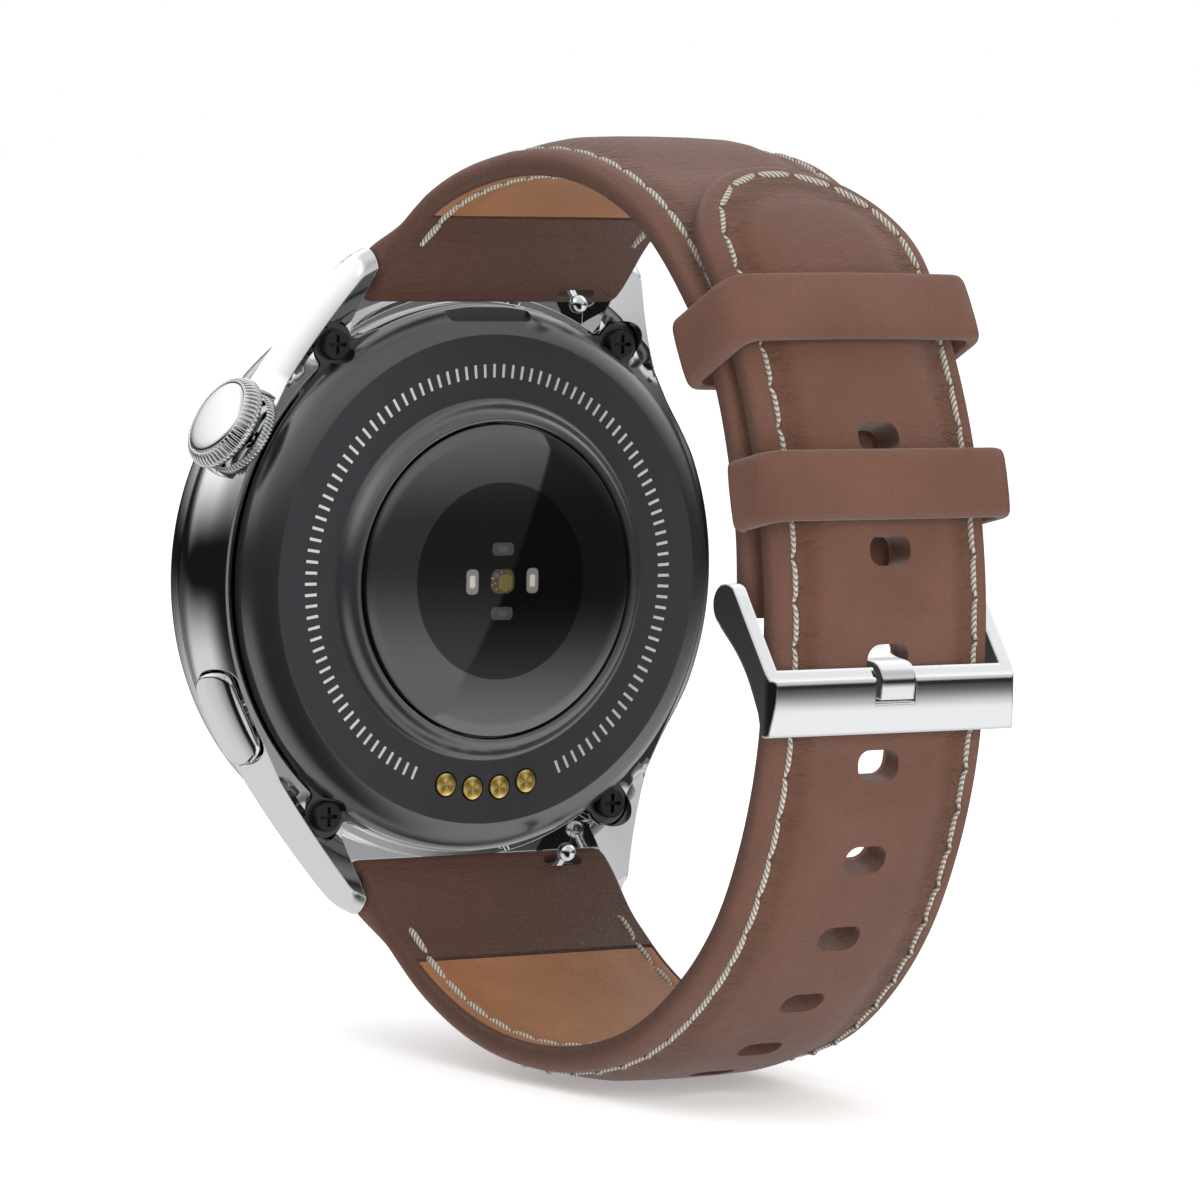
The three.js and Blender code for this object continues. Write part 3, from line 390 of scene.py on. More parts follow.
@dataclass(frozen=True)
class SensorGlass:
    """Black-backed glass, with its inner disc, four sensor windows and optical chip drawn in the finish."""

    name: str
    disc: float = 7.36
    windows: tuple[tuple[float, float, float, float], ...] = (
        (2.65, 0.0, 0.52, 0.93), (-2.65, 0.0, 0.52, 0.93), (0.0, 2.4, 0.95, 0.48), (0.0, -2.4, 0.95, 0.48),
    )

    def _pill(self, shader: Shader, x: Field, z: Field, spec: tuple[float, float, float, float]) -> Field:
        """Mask of one rounded window.

        Args:
            shader: Shader to add to.
            x: Place across.
            z: Place up.
            spec: Centre and half sizes.

        Returns:
            Mask that is 1 inside.
        """
        cx, cz, half_x, half_z = spec
        r = min(half_x, half_z) * 0.7
        dx = shader.math("MAXIMUM", (x - cx).abs() - (half_x - r), 0.0)
        dz = shader.math("MAXIMUM", (z - cz).abs() - (half_z - r), 0.0)
        return 1 - shader.math("SQRT", dx * dx + dz * dz).step(r - 0.04, r + 0.04)

    def material(self) -> bpy.types.Material:
        """Builds the material.

        Returns:
            The finished material.
        """
        shader = Shader(self.name)
        x, _, z = shader.split(shader.place())
        radius = shader.math("SQRT", x * x + z * z)
        outside = radius.step(self.disc - 0.04, self.disc + 0.04)
        colour = shader.mix(outside, (0.003, 0.003, 0.0035, 1), (0.004, 0.004, 0.0045, 1))
        rings = shader.math("SINE", radius * 26) * 0.5 + 0.5
        colour = shader.mix(radius.bell(11.55, 0.12), colour, (0.002, 0.002, 0.002, 1))
        for spec in self.windows:
            mask = self._pill(shader, x, z, spec)
            inner = self._pill(shader, x, z, (spec[0], spec[1], spec[2] * 0.45, spec[3] * 0.5))
            wide = spec[0] != 0.0
            glow = (0.23, 0.23, 0.225, 1) if wide else (0.062, 0.062, 0.064, 1)
            spot = (0.62, 0.60, 0.52, 1) if wide else (0.09, 0.09, 0.092, 1)
            colour = shader.mix(mask, colour, glow)
            colour = shader.mix(inner, colour, spot)
        colour = self._chip(shader, x, z, colour)
        seam = (x.step(self.disc, self.disc + 0.02)) * (1 - x.step(11.5, 11.6)) * z.bell(-0.05, 0.06)
        colour = shader.mix(seam, colour, (0.002, 0.002, 0.002, 1))
        return shader.dress(
            Base_Color=colour, Roughness=0.03, IOR=1.6, Coat_Weight=outside, Coat_IOR=1.95,
            Coat_Roughness=0.02,
            Normal=shader.bump(rings * (1 - outside), 0.0000008, shader.eased(0.00008), 0.2),
        )

    def _chip(self, shader: Shader, x: Field, z: Field, colour: Any) -> Any:
        """The square optical chip with its bond pads.

        Args:
            shader: Shader to add to.
            x: Place across.
            z: Place up.
            colour: Colour so far.

        Returns:
            Colour with the chip.
        """
        chip = self._pill(shader, x, z, (0.0, 0.0, 1.02, 0.9))
        die = self._pill(shader, x, z, (-0.25, -0.1, 0.6, 0.6))
        colour = shader.mix(chip, colour, (0.075, 0.062, 0.03, 1))
        colour = shader.mix(die, colour, (0.16, 0.125, 0.045, 1))
        pads = shader.cells(shader.vector(x, z), 3.4).step(0.16, 0.2)
        colour = shader.mix((1 - pads) * chip * (1 - die), colour, (0.62, 0.46, 0.16, 1))
        blue = self._pill(shader, x, z, (0.55, 0.45, 0.22, 0.16))
        return shader.mix(blue, colour, (0.07, 0.12, 0.24, 1))


@dataclass(frozen=True)
class DisplayGlass:
    """Black front glass."""

    name: str

    def material(self) -> bpy.types.Material:
        """Builds the material.

        Returns:
            The finished material.
        """
        shader = Shader(self.name)
        smear = shader.noise(shader.place(), 120.0, 4.0)
        return shader.dress(
            Base_Color=(0.003, 0.003, 0.0035, 1), Roughness=smear.step(0.5, 0.8) * 0.03 + 0.02, IOR=1.5,
            Coat_Weight=0.5, Coat_Roughness=0.02, Normal=shader.eased(0.0001),
        )


@dataclass(frozen=True)
class Leather:
    """Calf leather: pebbled grain, creases beside the stitches, painted shade that darkens and warms the dip
    beside the stitches, and burnished sides.
    """

    name: str
    colour: Triple = (0.150, 0.070, 0.048)
    valley_shade: Triple = (0.105, 0.042, 0.020)
    side: Triple = (0.075, 0.036, 0.025)
    grain: float = 1.0
    creases: float = 1.0
    rough: float = 0.47
    stitch_inset: float = 1.5
    shaped: bool = True

    def material(self) -> bpy.types.Material:
        """Builds the material.

        Returns:
            The finished material.
        """
        shader = Shader(self.name)
        place = shader.place()
        cloud = shader.noise(place, 110.0, 4.0, 0.6)
        speck = shader.noise(place, 2400.0, 3.0)
        base = shader.mix(cloud.step(0.3, 0.7), tinted([c * 0.9 for c in self.colour]),
                          tinted([c * 1.08 for c in self.colour]))
        base = shader.mix(speck.step(0.5, 0.8) * 0.35, base, tinted([c * 0.72 for c in self.colour]))
        pebble = shader.cells(place, 2600.0, "DISTANCE_TO_EDGE").step(0.0, 0.22)
        wide = shader.cells(place, 1150.0, "SMOOTH_F1")
        fine = shader.noise(place, 6500.0, 2.0)
        height = pebble * 0.45 + wide * 0.5 + fine * 0.2
        rough = speck * 0.12 + self.rough - pebble * 0.05
        if self.shaped:
            inset, depth = shader.uv("edge")
            across, along = shader.uv("plan")
            near = inset.bell(self.stitch_inset + 0.7, 2.1)
            # Painted shade: the dip between the stitch row and the raised padding is darkened and warmed in
            # the colour; the lining gets the same band.
            valley_shade = inset.bell(self.stitch_inset + 1.0, 1.5) * depth.step(0.2, 0.8)
            base = shader.mix(valley_shade * 0.55, base, tinted(self.valley_shade))
            base = shader.mix((1 - depth.step(-0.5, 0.75)) * 0.75, base, tinted(self.side))
            warp = shader.noise(place, 900.0, 2.0) * 2.4
            crease = shader.noise(shader.vector(along * 2.3 + warp, inset * 0.55), 1.0, 2.0, 0.55, 0.5)
            pull = shader.math("SINE", along * (2 * math.pi / 2.6)) * 0.3 + 0.7
            height = height + (crease.step(0.36, 0.64) * 3.6 * self.creases) * near * pull * depth.step(-0.2,
                                                                                                        0.4)
            flow = shader.noise(shader.vector(across * 0.25, along * 1.3 + warp * 0.5), 1.6, 3.0, 0.6, 0.4)
            height = height + flow.step(0.35, 0.7) * 0.7 * self.grain
        return shader.dress(
            Base_Color=base, Roughness=rough, Specular_IOR_Level=0.3,
            Normal=shader.bump(height, 0.000045 * self.grain, shader.eased(0.00008), 0.9),
        )


@dataclass(frozen=True)
class Thread:
    """Twisted polyester sewing thread, with painted shade in the grooves between its plies."""

    name: str
    colour: Triple = (0.60, 0.555, 0.47)

    def material(self) -> bpy.types.Material:
        """Builds the material.

        Returns:
            The finished material.
        """
        shader = Shader(self.name)
        place = shader.place()
        along, girth = shader.uv("ply")
        twist = shader.math("SINE", along * (2 * math.pi / 0.42) + girth * 19.0) * 0.5 + 0.5
        fibre = shader.noise(place, 9000.0, 2.0)
        dirt = shader.noise(place, 600.0, 3.0)
        base = shader.mix(fibre, tinted([c * 0.8 for c in self.colour]),
                          tinted([c * 1.12 for c in self.colour]))
        # Painted shade: the grooves between the twisted plies are darkened in the colour.
        base = shader.mix((1 - twist.step(0.0, 0.42)) * 0.85, base, tinted([c * 0.22 for c in self.colour]))
        base = shader.mix(dirt.step(0.55, 0.8) * 0.3, base, (0.20, 0.16, 0.12, 1))
        height = twist.step(0.0, 0.6) + fibre * 0.2
        return shader.dress(Base_Color=base, Roughness=0.72, Normal=shader.bump(height, 0.00009, None, 0.9))


@dataclass(frozen=True)
class Moulding:
    """Plain moulded or coated part with a fine grain."""

    name: str
    colour: Triple
    roughness: float = 0.5
    metallic: float = 0.0
    scale: float = 2500.0

    def material(self) -> bpy.types.Material:
        """Builds the material.

        Returns:
            The finished material.
        """
        shader = Shader(self.name)
        place = shader.place()
        grain = shader.noise(place, self.scale, 3.0)
        cloud = shader.noise(place, 300.0, 3.0)
        base = shader.mix(cloud, tinted([c * 0.82 for c in self.colour]),
                          tinted([min(1.0, c * 1.12) for c in self.colour]))
        return shader.dress(
            Base_Color=base, Metallic=self.metallic, Roughness=grain * 0.1 + self.roughness,
            Normal=shader.bump(grain, 0.00001, shader.eased(0.00005), 0.3),
        )


class Finishes:
    """Every material, each built once."""

    def __init__(self) -> None:
        """Builds the shared materials."""
        self.steel = PolishedMetal("polished_steel").material()
        self.buckle = PolishedMetal("buckle_steel", edge=0.0002).material()
        self.wire = PolishedMetal("spring_wire", (0.72, 0.73, 0.75), 0.12).material()
        self.polymer = Polymer("black_polymer").material()
        self.lens = SensorGlass("sensor_glass").material()
        self.display = DisplayGlass("display_glass").material()
        self.leather = Leather("brown_leather").material()
        self.keeper = Leather("keeper_leather", shaped=False, grain=0.8, rough=0.42).material()
        self.lining = Leather(
            "tan_lining", (0.34, 0.155, 0.072), (0.29, 0.12, 0.05), (0.26, 0.11, 0.05), 0.9, 0.4, 0.5,
        ).material()
        self.thread = Thread("sewing_thread").material()
        self.screw = Moulding("black_screw", (0.030, 0.030, 0.033), 0.34, 0.55).material()
        self.ink = Moulding("printed_ink", (0.62, 0.62, 0.61), 0.6).material()
        self.rubber = Moulding("black_rubber", (0.018, 0.018, 0.018), 0.75).material()
        self.board = Moulding("green_board", (0.015, 0.10, 0.05), 0.42).material()
        self.gold = Moulding("gold_foil", (0.83, 0.60, 0.24), 0.25, 1.0).material()
        self.foil = Moulding("metal_foil", (0.66, 0.67, 0.68), 0.35, 1.0).material()
        self.chip = Moulding("chip_package", (0.16, 0.15, 0.10), 0.3).material()


# ------------------------------------------------------------------ mesh tools


def solid(name: str, points: np.ndarray, faces: Sequence[Sequence[int]]) -> bpy.types.Object:
    """Makes an object from points in millimetres, with its faces turned outwards.

    Args:
        name: Name of the object.
        points: Array of points.
        faces: Corners of each face.

    Returns:
        The new object, at the origin.
    """
    mesh = bpy.data.meshes.new(name)
    mesh.from_pydata((np.asarray(points) * MM).tolist(), [], [list(f) for f in faces])
    if volume(points, faces) < 0:
        mesh.flip_normals()
    mesh.update()
    made = bpy.data.objects.new(name, mesh)
    bpy.context.scene.collection.objects.link(made)
    return made


def volume(points: np.ndarray, faces: Sequence[Sequence[int]]) -> float:
    """Size of a closed surface, negative when it is inside out.

    Args:
        points: Array of points.
        faces: Corners of each face.

    Returns:
        Six times the signed volume.
    """
    total = 0.0
    p = np.asarray(points)
    for face in faces:
        a = p[face[0]]
        for i in range(1, len(face) - 1):
            total += float(np.dot(a, np.cross(p[face[i]], p[face[i + 1]])))
    return total


def skin(name: str, rows: np.ndarray, wrap: bool = False,
         layers: dict[str, np.ndarray] | None = None) -> bpy.types.Object:
    """Skins rows of closed rings into a closed solid.

    Args:
        name: Name of the object.
        rows: Array of rows, ring points and coordinates.
        wrap: Whether the last row joins the first.
        layers: UV maps as arrays of rows, ring points and two coordinates.

    Returns:
        The new object.
    """
    count, ring = rows.shape[:2]
    faces: list[list[int]] = []
    for i in range(count if wrap else count - 1):
        k = (i + 1) % count
        for j in range(ring):
            m = (j + 1) % ring
            faces.append([i * ring + j, i * ring + m, k * ring + m, k * ring + j])
    if not wrap:
        faces.append(list(range(ring))[::-1])
        faces.append([(count - 1) * ring + j for j in range(ring)])
    made = solid(name, rows.reshape(-1, 3), faces)
    for layer, values in (layers or {}).items():
        flat = values.reshape(-1, 2)
        corners = np.empty(len(made.data.loops), dtype=np.int32)
        made.data.loops.foreach_get("vertex_index", corners)
        made.data.uv_layers.new(name=layer).data.foreach_set("uv", flat[corners].ravel().astype(np.float32))
    return made


def lathe(name: str, profile: Sequence[Pair], segments: int = 192) -> bpy.types.Object:
    """Turns a (radius, height) profile about Y; a profile that starts and ends on the axis is closed there.

    Args:
        name: Name of the object.
        profile: Its points.
        segments: Steps round the axis.

    Returns:
        The turned solid.
    """
    on_axis = profile[0][0] == 0 and profile[-1][0] == 0
    middle = profile[1:-1] if on_axis else profile
    angles = np.linspace(0, 2 * math.pi, segments, endpoint=False)
    r = np.array([p[0] for p in middle])
    y = np.array([p[1] for p in middle])
    rows = np.stack([np.outer(np.cos(angles), r), np.tile(y, (segments, 1)), np.outer(np.sin(angles), r)],
                    axis=2)
    points = rows.reshape(-1, 3)
    n = len(middle)
    faces = []
    for i in range(segments):
        k = (i + 1) % segments
        for j in range(n - 1 if on_axis else n):
            m = (j + 1) % n
            faces.append([i * n + j, i * n + m, k * n + m, k * n + j])
    if on_axis:
        first, last = len(points), len(points) + 1
        points = np.vstack([points, [0, profile[0][1], 0], [0, profile[-1][1], 0]])
        for i in range(segments):
            k = (i + 1) % segments
            faces.append([first, i * n, k * n])
            faces.append([last, k * n + n - 1, i * n + n - 1])
    return solid(name, points, faces)


def prism(name: str, outline: Sequence[Pair], low: float, high: float, axis: str = "x") -> bpy.types.Object:
    """Pushes an outline along an axis; the outline holds the other two coordinates in X, Y, Z order.

    Args:
        name: Name of the object.
        outline: Its points.
        low: Start along the axis.
        high: End along the axis.
        axis: x, y or z.

    Returns:
        The solid.
    """
    flat = np.array(outline, dtype=float)
    n = len(flat)
    rows = np.zeros((2, n, 3))
    place = "xyz".index(axis)
    others = [i for i in range(3) if i != place]
    for row, value in enumerate((low, high)):
        rows[row, :, place] = value
        rows[row, :, others[0]] = flat[:, 0]
        rows[row, :, others[1]] = flat[:, 1]
    return skin(name, rows)


def rod(name: str, start: Triple, end: Triple, radius: float, sides: int = 32) -> bpy.types.Object:
    """A round bar.

    Args:
        name: Name of the object.
        start: Middle of one end.
        end: Middle of the other.
        radius: Its radius.
        sides: Steps round it.

    Returns:
        The solid.
    """
    a, b = Vector(start), Vector(end)
    made = lathe(name, [(0, 0), (radius, 0), (radius, (b - a).length), (0, (b - a).length)], sides)
    turn = Vector((0, 1, 0)).rotation_difference(b - a).to_matrix().to_4x4()
    made.data.transform(Matrix.Translation(a * MM) @ turn)
    return made


def turned(name: str, profile: Sequence[Pair], azimuth: float, height: float,
           segments: int = 96) -> bpy.types.Object:
    """A lathe turned about a radius of the watch: the profile is (radius, distance from the watch axis).

    Args:
        name: Name of the object.
        profile: Its points.
        azimuth: Degrees from 3 o'clock towards 12.
        height: Place along the watch axis.
        segments: Steps round the radius.

    Returns:
        The solid.
    """
    made = lathe(name, profile, segments)
    made.data.transform(radial_frame(azimuth, height))
    return made


def radial_frame(azimuth: float, height: float) -> Matrix:
    """Carries the Y axis onto a radius of the watch at a height along its axis.

    Args:
        azimuth: Degrees from 3 o'clock towards 12.
        height: Place along the watch axis.

    Returns:
        The transform, in metres.
    """
    out = Vector((math.cos(azimuth * RAD), 0, math.sin(azimuth * RAD)))
    turn = Vector((0, 1, 0)).rotation_difference(out).to_matrix().to_4x4()
    return Matrix.Translation((0, height * MM, 0)) @ turn


def on_radius(azimuth: float, distance: float, height: float) -> Triple:
    """A point at a distance from the watch axis."""
    return (distance * math.cos(azimuth * RAD), height, distance * math.sin(azimuth * RAD))


def pill(length: float, width: float, steps: int = 16) -> list[Pair]:
    """Outline with straight sides and half-round ends, long along the first axis.

    Args:
        length: Whole length.
        width: Whole width.
        steps: Steps round each end.

    Returns:
        The outline.
    """
    half = length / 2 - width / 2
    points = []
    for side in (1, -1):
        for i in range(steps + 1):
            a = (-90 + 180 * i / steps) * RAD
            points.append((side * (half + width / 2 * math.cos(a)), side * width / 2 * math.sin(a)))
    return points


def circle(cx: float, cy: float, r: float, n: int = 64, squash: float = 1.0) -> list[Pair]:
    """Points round a circle."""
    return [(cx + r * math.cos(2 * math.pi * i / n),
             cy + squash * r * math.sin(2 * math.pi * i / n)) for i in range(n)]


def bezier(a: Pair, b: Pair, c: Pair, d: Pair, steps: int = 10) -> list[Pair]:
    """Points along a cubic curve, without its last point.

    Args:
        a: Start.
        b: First handle.
        c: Second handle.
        d: End.
        steps: Number of points.

    Returns:
        The points.
    """
    points = []
    for i in range(steps):
        t = i / steps
        w = ((1 - t) ** 3, 3 * t * (1 - t) ** 2, 3 * t * t * (1 - t), t ** 3)
        points.append(tuple(sum(w[k] * p[j] for k, p in enumerate((a, b, c, d))) for j in (0, 1)))
    return points


def joined(*objects: bpy.types.Object) -> bpy.types.Object:
    """Puts separate solids into the first one's mesh.

    Args:
        objects: Solids, which are used up.

    Returns:
        One object of them all.
    """
    points: list[Any] = []
    faces: list[list[int]] = []
    for item in objects:
        start = len(points)
        points += [tuple(v.co / MM) for v in item.data.vertices]
        faces += [[start + i for i in f.vertices] for f in item.data.polygons]
    made = solid_keep(objects[0].name + "_set", points, faces)
    for item in objects:
        discard(item)
    return made


def solid_keep(name: str, points: Sequence[Any], faces: Sequence[Sequence[int]]) -> bpy.types.Object:
    """Makes an object whose faces already point the right way.

    Args:
        name: Name of the object.
        points: Points in millimetres.
        faces: Corners of each face.

    Returns:
        The new object.
    """
    mesh = bpy.data.meshes.new(name)
    mesh.from_pydata([tuple(c * MM for c in p) for p in points], [], faces)
    mesh.update()
    made = bpy.data.objects.new(name, mesh)
    bpy.context.scene.collection.objects.link(made)
    return made


def discard(item: bpy.types.Object) -> None:
    """Removes an object and its mesh.

    Args:
        item: The object.
    """
    mesh = item.data
    bpy.data.objects.remove(item)
    if mesh.users == 0:
        bpy.data.meshes.remove(mesh)


def settle(item: bpy.types.Object) -> bpy.types.Object:
    """Applies every modifier of an object and removes them.

    Args:
        item: The object.

    Returns:
        The same object.
    """
    graph = bpy.context.evaluated_depsgraph_get()
    graph.update()
    result = bpy.data.meshes.new_from_object(item.evaluated_get(graph), preserve_all_data_layers=True,
                                             depsgraph=graph)
    item.modifiers.clear()
    old = item.data
    item.data = result
    bpy.data.meshes.remove(old)
    return item


def cut(target: bpy.types.Object, way: Cut, *tools: bpy.types.Object) -> bpy.types.Object:
    """Changes a solid by other solids, which are used up.

    Args:
        target: Solid to change.
        way: Off, on or keep.
        tools: The other solids.

    Returns:
        The changed solid.
    """
    for tool in tools:
        change = target.modifiers.new("cut", "BOOLEAN")
        change.object = tool
        change.operation = way.value
        change.solver = "EXACT"
    settle(target)
    for tool in tools:
        discard(tool)
    return target


def bevelled(item: bpy.types.Object, width: float, segments: int = 3, angle: float = 30) -> bpy.types.Object:
    """Rounds the sharp edges of a solid.

    Args:
        item: The solid.
        width: Width of the rounding.
        segments: Steps across it.
        angle: Edges that turn less than this, in degrees, stay.

    Returns:
        The same object.
    """
    weld = item.modifiers.new("weld", "WELD")
    weld.merge_threshold = 0.00002
    change = item.modifiers.new("bevel", "BEVEL")
    change.use_clamp_overlap = False
    change.width = width * MM
    change.segments = segments
    change.limit_method = "ANGLE"
    change.angle_limit = angle * RAD
    return settle(item)


def smooth(item: bpy.types.Object, angle: float = 32) -> bpy.types.Object:
    """Shades a solid smooth, except over edges sharper than an angle.

    Args:
        item: The solid.
        angle: The angle, in degrees.

    Returns:
        The same object.
    """
    item.data.shade_smooth()
    item.data.set_sharp_from_angle(angle=angle * RAD)
    return item


def finish_piece(
    item: bpy.types.Object, material: bpy.types.Material, slot: Slot, body: str = WATCH, *replaced: str
) -> bpy.types.Object:
    """Dresses a piece and ties it to the frame.

    Args:
        item: The piece.
        material: Its material.
        slot: Kind of material that it takes, which decides whether it shows in mirror reflections.
        body: The body that it rides on.
        replaced: CAD nodes that it stands for.

    Returns:
        The piece.
    """
    item.data.materials.clear()
    item.data.materials.append(material)
    item.visible_glossy = slot not in (Slot.LEATHER, Slot.LINING) and body not in ("buckle", "tongue")
    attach(item, body)
    if replaced:
        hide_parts(*replaced)
    LOG.info("%s: %d faces on %s", item.name, len(item.data.polygons), body)
    return item


# ------------------------------------------------------------------ geometry-node arrays


class GeometryTree(Tree):
    """A geometry node tree with named inputs."""

    def __init__(self, name: str, sizes: dict[str, tuple[str, Any]]) -> None:
        """Makes the group and its sockets.

        Args:
            name: Name of the group.
            sizes: Socket type and default of each named input.
        """
        group = bpy.data.node_groups.new(name, "GeometryNodeTree")
        super().__init__(group)
        group.interface.new_socket("Geometry", in_out="INPUT", socket_type="NodeSocketGeometry")
        group.interface.new_socket("Geometry", in_out="OUTPUT", socket_type="NodeSocketGeometry")
        self.sockets = {}
        for label, (kind, default) in sizes.items():
            socket = group.interface.new_socket(label, in_out="INPUT", socket_type=kind)
            if default is not None:
                socket.default_value = default
            self.sockets[label] = socket.identifier
        self.source = self.node("NodeGroupInput")
        self.result = self.node("NodeGroupOutput")

    def end(self, instances: Any, material: bpy.types.Material) -> None:
        """Realizes the instances and gives them their material.

        Args:
            instances: Socket with the instances.
            material: Their material.
        """
        real = self.node("GeometryNodeRealizeInstances", None, {0: instances})
        dressed = self.node("GeometryNodeSetMaterial", None, {0: real.outputs[0], "Material": material})
        self.feed(self.result.inputs[0], dressed.outputs[0])

    def run(self, host: bpy.types.Object, values: dict[str, Any]) -> bpy.types.Object:
        """Runs the tree on an object and keeps the mesh.

        Args:
            host: The object that carries the modifier.
            values: Value of each named input.

        Returns:
            A new mesh object; the host is removed.
        """
        change = host.modifiers.new(self.tree.name, "NODES")
        change.node_group = self.tree
        for label, value in values.items():
            change[self.sockets[label]] = value
        graph = bpy.context.evaluated_depsgraph_get()
        graph.update()
        mesh = bpy.data.meshes.new_from_object(host.evaluated_get(graph), depsgraph=graph)
        name = host.name
        host.modifiers.clear()
        old = host.data
        bpy.data.objects.remove(host)
        if isinstance(old, bpy.types.Curve):
            bpy.data.curves.remove(old)
        made = bpy.data.objects.new(name, mesh)
        bpy.context.scene.collection.objects.link(made)
        return made


def ring_tree(material: bpy.types.Material, unit: bpy.types.Object) -> GeometryTree:
    """Copies of one unit round an arc about Z, each turned with it.

    Args:
        material: Material of the copies.
        unit: The object to copy.

    Returns:
        The tree.
    """
    tree = GeometryTree("ring_of_units", {
        "Count": ("NodeSocketInt", 12), "Radius": ("NodeSocketFloat", 1.0),
        "Start": ("NodeSocketFloat", 0.0), "Step": ("NodeSocketFloat", 0.1),
    })
    source = tree.source.outputs
    index = Field(tree, tree.node("GeometryNodeInputIndex").outputs[0])
    angle = index * Field(tree, source["Step"]) + Field(tree, source["Start"])
    radius = Field(tree, source["Radius"])
    spot = tree.node("ShaderNodeCombineXYZ", None, {
        0: tree.math("COSINE", angle) * radius, 1: tree.math("SINE", angle) * radius,
    })
    line = tree.node("GeometryNodeMeshLine", None, {"Count": source["Count"]})
    placed = tree.node("GeometryNodeSetPosition", None, {0: line.outputs[0], "Position": spot.outputs[0]})
    turn = tree.node("FunctionNodeEulerToRotation", None, {
        0: tree.node("ShaderNodeCombineXYZ", None, {2: angle}).outputs[0],
    })
    shape = tree.node("GeometryNodeObjectInfo", None, {"Object": unit})
    copies = tree.node("GeometryNodeInstanceOnPoints", None, {
        "Points": placed.outputs[0], "Instance": shape.outputs["Geometry"], "Rotation": turn.outputs[0],
    })
    tree.end(copies.outputs[0], material)
    return tree


def stitch_tree(material: bpy.types.Material, unit: bpy.types.Object) -> GeometryTree:
    """Copies of one stitch laid end to end along a curve.

    Args:
        material: Material of the copies.
        unit: The object to copy.

    Returns:
        The tree.
    """
    tree = GeometryTree("row_of_stitches", {"Pitch": ("NodeSocketFloat", 0.0026)})
    resampled = tree.node("GeometryNodeResampleCurve", {"mode": "LENGTH"}, {
        0: tree.source.outputs[0], "Length": tree.source.outputs["Pitch"],
    })
    tangent = tree.node("GeometryNodeInputTangent")
    turn = tree.node("FunctionNodeAlignRotationToVector", {"axis": "X"}, {"Vector": tangent.outputs[0]})
    shape = tree.node("GeometryNodeObjectInfo", None, {"Object": unit})
    copies = tree.node("GeometryNodeInstanceOnPoints", None, {
        "Points": resampled.outputs[0], "Instance": shape.outputs["Geometry"], "Rotation": turn.outputs[0],
    })
    tree.end(copies.outputs[0], material)
    return tree


def host_curve(name: str, runs: Iterable[Sequence[Triple]]) -> bpy.types.Object:
    """A curve object of straight runs through points in millimetres.

    Args:
        name: Name of the object.
        runs: Points of each run.

    Returns:
        The curve object.
    """
    curve = bpy.data.curves.new(name, "CURVE")
    curve.dimensions = "3D"
    for run in runs:
        spline = curve.splines.new("POLY")
        spline.points.add(len(run) - 1)
        for point, place in zip(spline.points, run):
            point.co = (*[c * MM for c in place], 1.0)
    made = bpy.data.objects.new(name, curve)
    bpy.context.scene.collection.objects.link(made)
    return made


# ------------------------------------------------------------------ case


